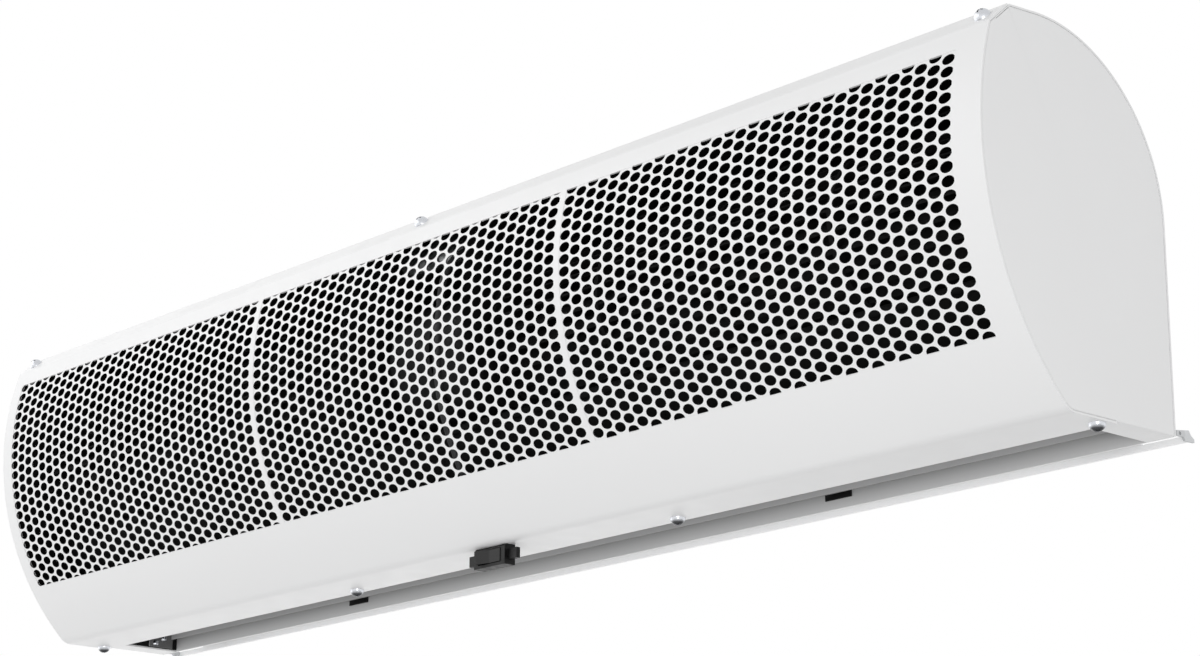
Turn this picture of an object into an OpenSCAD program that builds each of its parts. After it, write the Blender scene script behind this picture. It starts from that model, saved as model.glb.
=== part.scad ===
// Air curtain that hangs on a wall over a doorway.
// It draws air in through a bowed, perforated front and blows it down through a slot at the back
// of its underside.
// Frame: X runs along the casing, -Y is the front, the wall is the plane Y = 0, +Z is up.
// The origin is the centre of the four wall screws.

/* [Casing] */
// Length over the two end plates
body_len = 1000; // [900:10:1150]
// Height from the front flange to the flat top
body_h = 223; // [218:1:228]
// Depth from the back of the casing to the most forward line of the cover
belly_depth = 155.4; // [153:0.2:158]
// Height of that most forward line
belly_z = 145.7; // [143:0.1:148]
// Radius of the bowed front
front_r = 197.6; // [194:0.2:202]
// Radius of the rounded upper back
back_r = 101; // [98:0.5:104]
// Distance of the top front crest from the back
crest_back = 129.7; // [127:0.1:131]
// Slope of the top between the crest and the rounded back, in degrees
top_slope = 3.3; // [2:0.1:5]
// Height of the bevelled screw flange below the crest
bevel_drop = 13.6; // [12.8:0.1:15]
// Radius of the bend between the front and its lower flange
bend_r = 12; // [9:0.5:14]
// Thickness of the casing's steel sheet
sheet_t = 1.2; // [1:0.1:1.5]
// Width of the flanges that the end plates turn inwards
end_return = 19; // [18:0.5:22]

/* [Intake windows and screens] */
// Plain margin at each end of the row of windows
window_end_margin = 17.5; // [16.5:0.5:19]
// Plain strip between two windows
window_strip = 6; // [5:0.5:8]
// Plain margin between the upper bend and the windows, along the curve
window_top_margin = 13.7; // [12:0.1:16]
// Height of the windows along the curve
window_arc = 161; // [150:1:166]
// Thickness of the perforated sheet
screen_t = 0.8; // [0.6:0.1:1]
// How far a screen reaches behind the cover past its window
screen_lap = 2.4; // [2:0.1:2.4]
// Width of a hole of the coarse perforation
screen_hole_w = 22; // [16:1:23]
// Height of a hole of the coarse perforation
screen_hole_h = 15; // [11:1:16]
// Spacing of the columns of holes
screen_pitch_x = 26.4; // [26:0.1:30]
// Spacing of the holes in a column
screen_pitch_s = 19.6; // [19:0.1:23]

/* [Outlet] */
// Distance of the slot's front edge from the back
slot_front = 52; // [48:0.5:54]
// Gap between the back of the casing's sheet and the outlet's rear wall
rear_wall_gap = 4.8; // [4:0.1:6]
// Height of the lower edge of the outlet's rear wall
rear_wall_z = 10; // [9:0.5:12]
// Depth of the shelf on which the outlet's rear wall ends, below the fan's axis
outlet_drop = 69.2; // [66:0.1:72]
// Width of the clips behind the outlet's rear wall
clip_w = 22; // [18:0.5:26]
// Half the distance between the clips
clip_x = 243; // [200:1:300]
// Distance of the middle between the clips from the casing's middle
clip_shift = 3.5; // [0:0.5:8]

/* [Fan] */
// Outer radius of the fan wheels
wheel_r = 48; // [44:0.5:50]
// Depth of the blades
blade_depth = 10; // [8:0.5:12]
// Thickness of the blades
blade_t = 1.4; // [1:0.1:1.8]
// Number of blades on each wheel
blade_count = 24; // [18:1:30]
// Number of bays between the rings of a wheel
wheel_bays = 4; // [3:1:6]
// Distance of the fan's axis from the back
fan_back = 88; // [86:0.5:90]
// Depth of the fan's axis below the flat top
fan_drop = 93.8; // [92:0.1:96]
// Radius of the shafts
shaft_r = 4; // [3:0.5:5]
// Radial clearance of a shaft in its bush
shaft_gap = 0.05; // [0.03:0.01:0.08]
// Inner radius of the scroll behind the wheels
scroll_r = 72; // [70:0.5:74]
// Depth of the scroll's centre below the fan's axis
scroll_drop = 14; // [12:0.5:15]
// Gap between the wheels and the rolled tongue
tongue_gap = 4; // [3:0.5:6]
// Radius of the rolled tongue
tongue_r = 3; // [2:0.5:4]

/* [Motor] */
// Outer radius of the motor's shell
motor_r = 43; // [41:0.5:44]
// Length of the motor's shell
motor_len = 88; // [80:1:92]
// Length of the bay that holds the motor
motor_bay = 128; // [126:1:136]
// Radius of the bosses that carry the motor
boss_r = 17; // [16:0.5:18]
// Thickness of the rubber rings on the bosses
rubber_t = 7.5; // [6:0.5:9]

/* [Switch] */
// Distance of the switch from the middle
switch_x = 17; // [0:1:60]
// Width of the switch body
switch_w = 31; // [28:0.5:34]
// Height of the switch body below the flange
switch_h = 13.5; // [12:0.5:15]
// Depth of the switch body
switch_d = 9; // [8.5:0.5:11]
// Length of each fixing ear
ear_len = 8.5; // [8:0.5:10]
// Width of the rocker
rocker_w = 22; // [19:0.5:23]
// Height of the rocker
rocker_h = 8.6; // [7:0.1:9]

/* [Fasteners] */
// Radius of the cover screws' shanks
screw_r = 2.4; // [2:0.1:2.6]
// Radius of the cover screws' heads
screw_head_r = 5; // [4.4:0.1:5.4]
// Height of the cover screws' heads
screw_head_h = 4.6; // [3.8:0.1:5]
// Clearance of a screw in its hole
screw_gap = 0.1; // [0.05:0.05:0.2]
// Radius of the small screws' shanks
small_r = 1.5; // [1.3:0.1:1.7]
// Radius of the small screws' heads
small_head_r = 2.6; // [2.4:0.1:2.8]

/* [Wall brackets] */
// Distance of the casing's back from the wall
wall_gap = 17; // [16:0.5:22]
// Distance of the wall screws from each end of the casing
wall_hole_inset = 68; // [66:1:70]
// Distance between the two rows of wall screws
wall_hole_z = 120; // [116:1:124]
// Height of the middle of the wall screws above the underside
wall_hole_mid = 120; // [116:1:124]
// Radius of the wall screw holes
wall_hole_r = 3.2; // [2.6:0.1:4]
// Thickness of the brackets' steel
bracket_t = 1.5; // [1.2:0.1:2]
// Width of a bracket
bracket_w = 40; // [36:1:42]

/* [Hidden] */

fine = 180;                 // facets of large round shapes
mid = 48;                   // facets of medium round shapes
small = 32;                 // facets of small round shapes
fit = 0.1;                  // gap between sheets that touch
far = 300;                  // reach of cutting shapes past the casing

half_len = body_len / 2;
inner_half = half_len - end_return;          // inner edge of the end plates' flanges

// Points and directions of the section, in [y, z], with y = 0 at the casing's back
front_c = [-belly_depth + front_r, belly_z];
back_c = [-back_r, body_h - back_r];
top_deg = 90 + top_slope;
top_out = [cos(top_deg), sin(top_deg)];
under_top = [cos(top_deg + 2), sin(top_deg + 2)];    // the rounded back ends a little under the flat top
crest = [-crest_back, (back_c * top_out + back_r + crest_back * top_out[0]) / top_out[1]];
bevel_z = crest[1] - bevel_drop;
bevel_end = [front_c[0] - sqrt(front_r * front_r - pow(bevel_z - front_c[1], 2)), bevel_z];
bevel_len = norm(crest - bevel_end);
bevel_dir = (crest - bevel_end) / bevel_len;
bevel_out = [-bevel_dir[1], bevel_dir[0]];
bevel_tilt = atan2(-bevel_out[0], bevel_out[1]);
bevel_mid = (crest + bevel_end) / 2;
bend_c = [
  front_c[0] - sqrt(pow(front_r - bend_r, 2) - pow(front_c[1] - bend_r, 2)),
  bend_r
];
bend_deg = atan2(bend_c[1] - front_c[1], bend_c[0] - front_c[0]);
lip_reach = bevel_len - 4;                   // the rear panel's lip behind the bevelled flange

// Windows: angles above the horizontal at the centre of the bowed front
deg_per_mm = 180 / (PI * front_r);
window_hi = asin((bevel_z - front_c[1]) / front_r) - window_top_margin * deg_per_mm;
window_lo = window_hi - window_arc * deg_per_mm;
window_len = (body_len - 2 * window_end_margin - 2 * window_strip) / 3;
window_step = window_len + window_strip;
screen_lap_deg = screen_lap * deg_per_mm;
screen_r = front_r - sheet_t;                // outer radius of the screens

// Screws of the cover
screw_y = -(slot_front + 8);
bottom_screw_x = [for (i = [-1.5:1.5]) (half_len - 7) * i / 1.5];
top_screw_x = [for (i = [-1:1]) (half_len - 11) * i];
cover_screw_len = 2 * sheet_t + 4;

// Outlet
fan_z = body_h - fan_drop;                   // the fan's axis
rear_wall_top = fan_z - outlet_drop;
rear_wall_y = -(sheet_t + rear_wall_gap);    // rear face of the outlet's rear wall
rear_wall_face = rear_wall_y - sheet_t;
duct_half = inner_half - sheet_t - fit;      // half the length between the end bulkheads
tab_d = 20;                                  // reach of the rear wall's end tabs
tab_h = 18;
tab_z = 2.9;
tab_screws = [[rear_wall_face - 14.4, 5.8], [rear_wall_face - 7, 9.9]];
clip_lip_t = 1.2;
clip_z = rear_wall_z - 2.8;                  // a clip's lip shows below the wall's edge
clip_body_z = rear_wall_z + 3;
clip_top = 24;

// Fan
fan_c = [-fan_back, fan_z];
tongue_deg = -110;
tongue_c = fan_c + (wheel_r + tongue_gap + tongue_r) * [cos(tongue_deg), sin(tongue_deg)];
guide_foot = [-slot_front, sheet_t];
scroll_c = [rear_wall_face - scroll_r, fan_z - scroll_drop];
scroll_end_deg = 110;
bulkhead_t = sheet_t;
bay_half = motor_bay / 2;                    // outer faces of the motor bulkheads
hub_r = 10;
hub_flange_r = 16;
hub_flange_t = 1.5;
hub_len = 22;
hub_back = 5;                                // part of a hub behind its flange
hub_screw_x = 12;
stub_hub_len = 14;
disc_t = 3;
wheel_x0 = bay_half + 8;                     // inner end of a wheel
wheel_x1 = inner_half - sheet_t - 9.8;       // outer end of a wheel
stub_flange_t = 2;

// Motor
boss_len = 16;
shell_t = 2.5;
bearing_r = 11;
bearing_w = 7;
ring_bracket_r = boss_r + rubber_t;
ring_bracket_t = 4;
ring_flange_r = ring_bracket_r + 13;
ring_len = 12;
air_gap = 0.5;
stator_len = 44;
rotor_r = 26;
ring_screw_r = ring_flange_r - 4;

// End bearings
bush_r = shaft_r + 4;
rubber_bush_r = bush_r + 6;
housing_r = rubber_bush_r + 5;
housing_flange_r = housing_r + 7;
housing_len = 13;
housing_flange_t = 2;
shaft_hole_r = bush_r + 4;

// Electrics
shelf_gap = 13.8;                            // between the motor and the shelf
shelf_z = fan_z + motor_r + shelf_gap;
shelf_front = crest_back - 8;
shelf_back = 52;
shelf_flange = 12;
capacitor_r = 14;
capacitor_len = 66;
capacitor_y = -100;
capacitor_x = -18;
clamp_w = 12;
clamp_foot = 10;
terminal_size = [58, 20, 16];
terminal_y = -64;
grommet_x = 36;
grommet_z = body_h - back_r - 22;
grommet_r = 10;
grommet_bore_r = 6;
grommet_lip = 2.2;
lead_r = 2.5;

terminal_pitch = 11.6;
terminal_z = shelf_z + sheet_t + terminal_size[2] / 2;

function way_x(i) = 5 + (i - 2) * terminal_pitch;

// Switch
switch_y = -(slot_front + 33);               // middle of the switch body, front to back
switch_lead_y = switch_y + 1.2;              // where the lead enters the switch
switch_lead_depth = 1.5;
ear_t = 3;
ear_h = 7;
rocker_gap = 0.4;
rocker_depth = 5;
rocker_deg = 7;                              // half the rocker's travel
rocker_pin_r = 1;
rocker_y = switch_y - switch_d / 2 + 2;      // the rocker's axis
rocker_z = -switch_h / 2;

// Routes of the leads, [x, y, z] from the casing's back and underside
lead_sides = 12;
lead_steps = 4;                              // rings from one point of a route to the next
motor_lead_x = 10;
motor_back = motor_r - fan_back;
motor_lead_route = [
  [way_x(2), terminal_y + 6, terminal_z],
  [way_x(2), terminal_y + 10, terminal_z],
  [way_x(2), terminal_y + 17, terminal_z],
  [way_x(2) + 2, terminal_y + 23, shelf_z - 8],
  [motor_lead_x, motor_back + 8, fan_z + 20],
  [motor_lead_x, motor_back + 7, fan_z + 5],
  [motor_lead_x, motor_back + 3, fan_z],
  [motor_lead_x, motor_back, fan_z],
  [motor_lead_x, motor_back - 2, fan_z]
];
switch_lead_route = [
  [way_x(4), terminal_y - 6, terminal_z],
  [way_x(4), terminal_y - 10, terminal_z],
  [way_x(4), terminal_y - 26, terminal_z],
  [way_x(4), terminal_y - 46, terminal_z],
  [way_x(4), -belly_depth + 27, shelf_z + 2],
  [27, -belly_depth + 17, shelf_z - 14],
  [26, -belly_depth + 14, fan_z + 21],
  [24, -belly_depth + 14, fan_z - 17],
  [22, -belly_depth + 22, fan_z - 49],
  [20, -belly_depth + 38, fan_z - 81],
  [18, -belly_depth + 55, 24],
  [switch_x, switch_lead_y - 6.2, 15.5],
  [switch_x, switch_lead_y, 8],
  [switch_x, switch_lead_y, 3],
  [switch_x, switch_lead_y, -switch_lead_depth]
];

// Wall brackets
bracket_inset = 36;                          // from the end of the casing
bracket_outer = half_len - bracket_inset;
bracket_over = 20;                           // steel above the upper wall screws
bracket_top = wall_hole_mid + wall_hole_z / 2 + bracket_over;
unit_flange_w = 24;
unit_flange_top = body_h - back_r - 4;
rail_bottom = sheet_t;
rail_top = 18;
rail_end_top = 4.8;                          // top of the rail's narrow ends
rail_face = wall_gap - 2 * bracket_t;        // front face of the rail
lug_gap = 0.5;                               // from a lug to the end of the casing
rail_half = half_len - lug_gap - bracket_t;
lug_shape = [
  [1, 2.4], [1, 5.4], [wall_gap - 4.6, 6.9], [wall_gap - 2.8, 4.2],
  [wall_gap, 2.4], [wall_gap, 0.6], [wall_gap - 8, 0.4], [wall_gap - 9.6, 2.4]
];
lug_hole = [4.2, 4];
lug_hole_r = 1;
bracket_bottom = 4;
web_bottom = rail_top + lug_gap;
rail_screw_x = [bracket_outer - bracket_w + 8, bracket_outer - 8];
rail_screw_z = 12;
stud_r = 3;
stud_head_r = 6;
stud_head_t = 2;
stud_x = bracket_outer - 13;
stud_z = [unit_flange_top - 78, unit_flange_top - 26];
stud_gap = 0.2;
keyhole_rise = 14;
bulkhead_flange_w = 12;
bulkhead_flange_z = [rear_wall_top + 6, unit_flange_top];
bulkhead_screw_z = [rear_wall_top + 16, unit_flange_top - 10];

// ---------- placing ----------

// Puts a shape drawn from the casing's back and underside into the frame of the wall screws
module hung() translate([0, -wall_gap, -wall_hole_mid]) children();

// Carries a section, drawn in [y, z], along X from x0 to x1
module along(x0, x1) translate([x0, 0, 0]) rotate([90, 0, 90]) linear_extrude(x1 - x0) children();

// A shape drawn along Z, laid along X from x0, at [y, z]
module axle(x0, at) translate([x0, at[0], at[1]]) rotate([0, 90, 0]) children();

module both_sides() {
  children();
  mirror([1, 0, 0]) children();
}

// ---------- section ----------

function meet(n1, o1, n2, o2) =
  let (det = n1[0] * n2[1] - n1[1] * n2[0])
  [(o1 * n2[1] - o2 * n1[1]) / det, (o2 * n1[0] - o1 * n2[0]) / det];

function crest_in(d) = meet(
  top_out, back_c * top_out + back_r - d,
  bevel_out, crest * bevel_out - d
);

function ray(deg, reach) = front_c + reach * [-cos(deg), sin(deg)];

// The casing's outline, drawn in by d on every side
module outline(d) {
  difference() {
    intersection() {
      translate(front_c) circle(r = front_r - d, $fn = 2 * fine);
      union() {
        difference() {
          translate(back_c) circle(r = back_r - d, $fn = fine);
          polygon([
            back_c, back_c + 2 * back_r * under_top, [-far, 2 * far], [-far, -far], [back_c[0], -far]
          ]);
        }
        polygon([
          [-d, d], [-d, back_c[1]], back_c, back_c + (back_r - d) * top_out, crest_in(d),
          crest_in(d) - 3 * bevel_len * bevel_dir, [-far, d]
        ]);
      }
    }
    difference() {
      polygon([
        bend_c, bend_c + 3 * bend_r * [cos(bend_deg), sin(bend_deg)], bend_c - [0, 3 * bend_r]
      ]);
      translate(bend_c) circle(r = bend_r - d, $fn = mid);
    }
  }
}

module ring(d0, d1) difference() {
  outline(d0);
  outline(d1);
}

// Everything in front of the crest and of the slot
module front_zone() polygon([
  crest + bevel_drop * bevel_out, crest - bevel_drop * bevel_out, [-slot_front, body_h / 2],
  [-slot_front, -far], [-far, -far], [-far, body_h + far]
]);

module wedge(hi, lo) polygon([front_c, ray(hi, far), ray(lo, far)]);

// A straight sheet in section, from p to q, with thickness t to the left of that direction
module strip(p, q, t) {
  n = [-(q - p)[1], (q - p)[0]] / norm(q - p);
  polygon([p, q, q + t * n, p + t * n]);
}

// ---------- fasteners ----------

module dome(r, h) {
  ball = (r * r + h * h) / (2 * h);
  intersection() {
    translate([0, 0, h - ball]) sphere(r = ball, $fn = mid);
    cylinder(r = r, h = h + 1, $fn = small);
  }
}

// A pan-head screw with a crossed recess: head above z = 0, shank below
module pan_screw(r, length, head_r, head_h) difference() {
  union() {
    dome(head_r, head_h);
    translate([0, 0, -length]) cylinder(r = r, h = length + 0.5, $fn = small);
  }
  for (turn = [0, 90])
    rotate([0, 0, turn])
      translate([-head_r * 0.5, -head_r * 0.1, head_h * 0.55]) cube([head_r, head_r * 0.2, head_h]);
}

module cover_screw() pan_screw(screw_r, cover_screw_len, screw_head_r, screw_head_h);

module small_screw(length) pan_screw(small_r, length, small_head_r, small_head_r * 0.6);

module at_bevel(x) translate([x, bevel_mid[0], bevel_mid[1]]) rotate([bevel_tilt, 0, 0]) children();

module at_flange(x) translate([x, screw_y, 0]) rotate([180, 0, 0]) children();

module cover_screw_holes() {
  for (x = top_screw_x)
    at_bevel(x) translate([0, 0, -10]) cylinder(r = screw_r + screw_gap, h = 20, $fn = small);
  for (x = bottom_screw_x)
    at_flange(x) translate([0, 0, -10]) cylinder(r = screw_r + screw_gap, h = 20, $fn = small);
}

// ---------- casing ----------

// The sheet from the crest over the rounded back down to the underside
module back_section() difference() {
  ring(0, sheet_t);
  front_zone();
  translate([-far, -1]) square([far + 1, sheet_t + 1]);
}

module rear_panel() color("gainsboro") hung() difference() {
  union() {
    along(-half_len, half_len) back_section();
    along(-duct_half, duct_half) {
      back_section();
      intersection() {
        ring(sheet_t, 2 * sheet_t);
        translate(crest) circle(r = lip_reach, $fn = mid);
      }
    }
  }
  cover_screw_holes();
  translate([grommet_x, 0, grommet_z]) rotate([90, 0, 0]) translate([0, 0, -5])
    cylinder(r = grommet_r, h = 12, $fn = mid);
  both_sides() {
    for (z = stud_z) translate([stud_x, 0, z]) rotate([90, 0, 0]) translate([0, 0, -5])
      cylinder(r = stud_r + screw_gap, h = 12, $fn = small);
    for (x = bulkhead_flange_x, z = bulkhead_screw_z)
      translate([x, 0, z]) rotate([90, 0, 0]) translate([0, 0, -5])
        cylinder(r = small_r + screw_gap, h = 12, $fn = small);
  }
}

module front_cover() color("whitesmoke") hung() difference() {
  along(-half_len, half_len) intersection() {
    ring(0, sheet_t);
    front_zone();
  }
  for (i = [-1:1])
    along(i * window_step - window_len / 2, i * window_step + window_len / 2) wedge(window_hi, window_lo);
  cover_screw_holes();
  translate([switch_x, switch_lead_y, -1]) cylinder(r = lead_r + 1.5, h = 4, $fn = small);
}

function hexagon(w, h) = [for (i = [0:5]) [w / 2 * cos(60 * i), h / (2 * sin(60)) * sin(60 * i)]];

// The perforation, drawn as seen from the front: columns along X, each shifted by half a hole
module perforation() {
  columns = floor((window_len - 6) / screen_pitch_x);
  arc_deg = screen_pitch_s * deg_per_mm;
  for (c = [0:columns - 1]) {
    shift = c % 2 == 0 ? 0.5 : 1;
    rows = floor((window_arc - 4) / screen_pitch_s - shift);
    for (r = [0:rows]) {
      deg = window_hi - 2 * deg_per_mm - (r + shift) * arc_deg;
      if (deg - arc_deg / 2 > window_lo)
        translate([(c + 0.5 - columns / 2) * screen_pitch_x, front_c[1] + screen_r * sin(deg)])
          polygon(hexagon(screen_hole_w, screen_hole_h * cos(deg)));
    }
  }
}

module intake_screen(i) color("silver") hung() translate([i * window_step, 0, 0]) difference() {
  along(-window_len / 2 - screen_lap, window_len / 2 + screen_lap) intersection() {
    translate(front_c) difference() {
      circle(r = screen_r, $fn = 2 * fine);
      circle(r = screen_r - screen_t, $fn = 2 * fine);
    }
    wedge(window_hi + screen_lap_deg, window_lo - screen_lap_deg);
  }
  translate([0, -belly_depth / 2, 0]) rotate([90, 0, 0]) linear_extrude(belly_depth) perforation();
}

module intake_screen_left() intake_screen(-1);

module intake_screen_centre() intake_screen(0);

module intake_screen_right() intake_screen(1);

module end_plate_shape() difference() {
  union() {
    along(half_len - sheet_t, half_len) outline(sheet_t);
    difference() {
      along(inner_half, half_len - sheet_t) ring(sheet_t, 2 * sheet_t);
      along(inner_half - 1, half_len - window_end_margin + screen_lap + 0.6)
        wedge(window_hi + 2 * screen_lap_deg, window_lo - 2 * screen_lap_deg);
    }
  }
  cover_screw_holes();
}

module end_plate_right() color("gainsboro") hung() end_plate_shape();

module end_plate_left() color("gainsboro") hung() mirror([1, 0, 0]) end_plate_shape();

module cover_screws_top() color("silver") hung() for (x = top_screw_x) at_bevel(x) cover_screw();

module cover_screws_bottom() color("silver") hung() for (x = bottom_screw_x) at_flange(x) cover_screw();

// ---------- air path ----------

module outlet_rear_wall() color("lightgray") hung() {
  difference() {
    union() {
      along(-duct_half, duct_half) {
        translate([rear_wall_face, rear_wall_z]) square([sheet_t, rear_wall_top - rear_wall_z]);
        translate([rear_wall_face, rear_wall_top]) square([-rear_wall_face - sheet_t - fit, sheet_t]);
      }
      both_sides() translate([duct_half - sheet_t, rear_wall_face - tab_d, tab_z])
        cube([sheet_t, tab_d + sheet_t, tab_h]);
    }
    both_sides() for (p = tab_screws)
      axle(duct_half - 5, p) cylinder(r = small_r + screw_gap, h = 10, $fn = small);
  }
}

// Each clip holds the wall off the rear panel, and its lip lies on the panel
module rear_wall_clips() color([0.08, 0.08, 0.08]) hung() for (side = [-1, 1])
  along(clip_shift + side * clip_x - clip_w / 2, clip_shift + side * clip_x + clip_w / 2) {
    translate([rear_wall_y + fit, clip_body_z]) square([rear_wall_gap - fit, clip_top - clip_body_z]);
    translate([-sheet_t - clip_lip_t, clip_z]) square([clip_lip_t, clip_top - clip_z]);
  }

module rear_wall_screws() color("silver") hung() both_sides() for (p = tab_screws)
  axle(duct_half - sheet_t, p) rotate([180, 0, 0]) small_screw(sheet_t + bulkhead_t + 3);

module front_air_guide() color("lightgray") hung() difference() {
  along(-duct_half, duct_half) {
    translate([bend_c[0] + 2, sheet_t]) square([-slot_front - bend_c[0] - 2, sheet_t]);
    difference() {
      strip(guide_foot, tongue_c, sheet_t);
      translate([-far, -far]) square([2 * far, far + sheet_t]);
    }
    translate(tongue_c) circle(r = tongue_r, $fn = small);
  }
  cover_screw_holes();
  translate([switch_x, switch_lead_y, -1]) cylinder(r = lead_r + 1.5, h = 6, $fn = small);
}

module scroll_shape() color("lightgray") along(bay_half + fit, duct_half - fit) {
  translate([rear_wall_face, rear_wall_top + sheet_t + fit])
    square([sheet_t, scroll_c[1] - rear_wall_top - sheet_t - fit]);
  intersection() {
    translate(scroll_c) difference() {
      circle(r = scroll_r + sheet_t, $fn = fine);
      circle(r = scroll_r, $fn = fine);
    }
    translate(scroll_c) polygon([
      [0, 0], [far, 0], [far, far], [far * cos(scroll_end_deg), far * sin(scroll_end_deg)]
    ]);
  }
}

module scroll_right() hung() scroll_shape();

module scroll_left() hung() mirror([1, 0, 0]) scroll_shape();

// The space inside the casing that a bulkhead closes
module bulkhead_outline() intersection() {
  outline(sheet_t + fit);
  translate(front_c) circle(r = screen_r - screen_t - 3 * fit, $fn = 2 * fine);
  polygon([
    [0, 2 * sheet_t + 2 * fit],
    [0, body_h + 1],
    [-far, body_h + 1],
    [-far, tongue_c[1] + tongue_r + 1],
    [tongue_c[0] - tongue_r, tongue_c[1] + tongue_r + 1],
    tongue_c + [tongue_r + 1, tongue_r + 1],
    tongue_c + [tongue_r + 1, 0],
    [-slot_front + 2.5, 2 * sheet_t + 2 * fit]
  ]);
}

module bulkhead_flange(x0) translate([x0, -sheet_t - fit - bulkhead_t, bulkhead_flange_z[0]])
  cube([bulkhead_flange_w, bulkhead_t, bulkhead_flange_z[1] - bulkhead_flange_z[0]]);

bulkhead_flange_x = [bay_half - bulkhead_t - bulkhead_flange_w / 2 - 1, inner_half - bulkhead_t - 7];

module bulkhead_flange_holes(x) for (z = bulkhead_screw_z)
  translate([x, 0, z]) rotate([90, 0, 0]) cylinder(r = small_r + screw_gap, h = 10, $fn = small);

module end_bulkhead_shape() difference() {
  union() {
    along(inner_half - bulkhead_t, inner_half) bulkhead_outline();
    bulkhead_flange(inner_half - bulkhead_flange_w);
  }
  axle(inner_half - 10, fan_c) cylinder(r = shaft_hole_r, h = 20, $fn = mid);
  bulkhead_flange_holes(bulkhead_flange_x[1]);
  for (p = tab_screws) axle(inner_half - 10, p) cylinder(r = small_r + screw_gap, h = 20, $fn = small);
}

module end_bulkhead_right() color("lightgray") hung() end_bulkhead_shape();

module end_bulkhead_left() color("lightgray") hung() mirror([1, 0, 0]) end_bulkhead_shape();

module motor_bulkhead_shape() difference() {
  union() {
    along(bay_half - bulkhead_t, bay_half) difference() {
      bulkhead_outline();
      translate([-far, -far]) square([far + 1, far + rear_wall_top + 2 * sheet_t + 3 * fit]);
      translate(crest) circle(r = lip_reach + 1, $fn = mid);
    }
    bulkhead_flange(bay_half - bulkhead_flange_w);
  }
  axle(bay_half - 10, fan_c) cylinder(r = boss_r + 3, h = 20, $fn = mid);
  bulkhead_flange_holes(bulkhead_flange_x[0]);
  ring_screws_at() translate([0, 0, -10]) cylinder(r = small_r + screw_gap, h = 20, $fn = small);
}

module motor_bulkhead_right() color("lightgray") hung() motor_bulkhead_shape();

module motor_bulkhead_left() color("lightgray") hung() mirror([1, 0, 0]) motor_bulkhead_shape();

module bulkhead_screws() color("silver") hung() both_sides()
  for (x = bulkhead_flange_x, z = bulkhead_screw_z)
    translate([x, 0, z]) rotate([-90, 0, 0]) small_screw(sheet_t + bulkhead_t + 2.5);

module motor_bay_floor() color("lightgray") hung()
  translate([-bay_half + bulkhead_t + fit, floor_front, rear_wall_top + sheet_t + fit])
    cube([motor_bay - 2 * bulkhead_t - 2 * fit, -sheet_t - fit - floor_front, sheet_t]);

// Where the floor meets the sloping front guide
floor_share = (rear_wall_top + 2 * sheet_t + fit - guide_foot[1]) / (tongue_c[1] - guide_foot[1]);
floor_front = guide_foot[0] + floor_share * (tongue_c[0] - guide_foot[0]) + 1;

// ---------- motor ----------

module motor_shell_shape() axle(0, fan_c) difference() {
  union() {
    cylinder(r = motor_r, h = motor_len / 2 - 5, $fn = fine);
    cylinder(r = motor_r - 5, h = motor_len / 2, $fn = fine);
    cylinder(r = motor_r + 1.5, h = 4, $fn = fine);
    cylinder(r = boss_r, h = motor_len / 2 + boss_len, $fn = mid);
  }
  translate([0, 0, -1]) cylinder(r = motor_r - shell_t, h = motor_len / 2 - 7, $fn = fine);
  translate([0, 0, motor_len / 2 - 9]) cylinder(r = bearing_r, h = 9 + bearing_w, $fn = mid);
  cylinder(r = shaft_r + 1, h = motor_len, $fn = mid);
}

module motor_shell_right() color("dimgray") hung() difference() {
  motor_shell_shape();
  translate([motor_lead_x, -fan_back, fan_z]) rotate([-90, 0, 0])
    cylinder(r = lead_r + fit, h = motor_r + 5, $fn = small);
}

module motor_shell_left() color("dimgray") hung() mirror([1, 0, 0]) motor_shell_shape();

module tube_x(x0, length, r0, r1) axle(x0, fan_c) difference() {
  cylinder(r = r1, h = length, $fn = mid);
  translate([0, 0, -1]) cylinder(r = r0, h = length + 2, $fn = mid);
}

module motor_stator() color("peru") hung() {
  tube_x(-stator_len / 2, stator_len, rotor_r + air_gap, motor_r - shell_t);
  for (side = [-1, 1]) axle(side * stator_len / 2, fan_c) rotate_extrude($fn = mid)
    translate([(rotor_r + motor_r - shell_t) / 2, 0]) circle(r = 5, $fn = small);
}

module motor_bearings() color("silver") hung() both_sides()
  tube_x(motor_len / 2, bearing_w, shaft_r + shaft_gap, bearing_r);

module motor_rotor() color("darkgray") hung() axle(0, fan_c) {
  translate([0, 0, -stator_len / 2]) cylinder(r = rotor_r, h = stator_len, $fn = mid);
  translate([0, 0, -wheel_x0 - 26]) cylinder(r = shaft_r, h = 2 * wheel_x0 + 52, $fn = mid);
}

module motor_rubber_rings() color([0.12, 0.12, 0.12]) hung() both_sides()
  tube_x(motor_len / 2 + 3, ring_len, boss_r, ring_bracket_r);

module ring_screws_at() for (turn = [45:90:315])
  axle(bay_half - bulkhead_t - 1.5, fan_c + ring_screw_r * [cos(turn), sin(turn)])
    rotate([180, 0, 0]) children();

module motor_ring_brackets() color("silver") hung() both_sides() difference() {
  union() {
    tube_x(
      bay_half - bulkhead_t - ring_len - 3, ring_len + 3, ring_bracket_r, ring_bracket_r + ring_bracket_t
    );
    tube_x(bay_half - bulkhead_t - 1.5, 1.5, ring_bracket_r, ring_flange_r);
  }
  ring_screws_at() translate([0, 0, -10]) cylinder(r = small_r + screw_gap, h = 20, $fn = small);
}

module ring_bracket_screws() color("silver") hung() both_sides()
  ring_screws_at() small_screw(1.5 + bulkhead_t + 2);

// ---------- fan ----------

blade_in = wheel_r - blade_depth;
blade_bow = 18;                              // how far a blade's middle is turned ahead of its ends

function blade_point(share, deg, out) =
  let (
    r = blade_in + share * (blade_depth - 0.5),
    turn = deg + blade_bow * share * (2 - share) / 2 + out * blade_t / 2 / r * 180 / PI
  )
  r * [cos(turn), sin(turn)];

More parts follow.
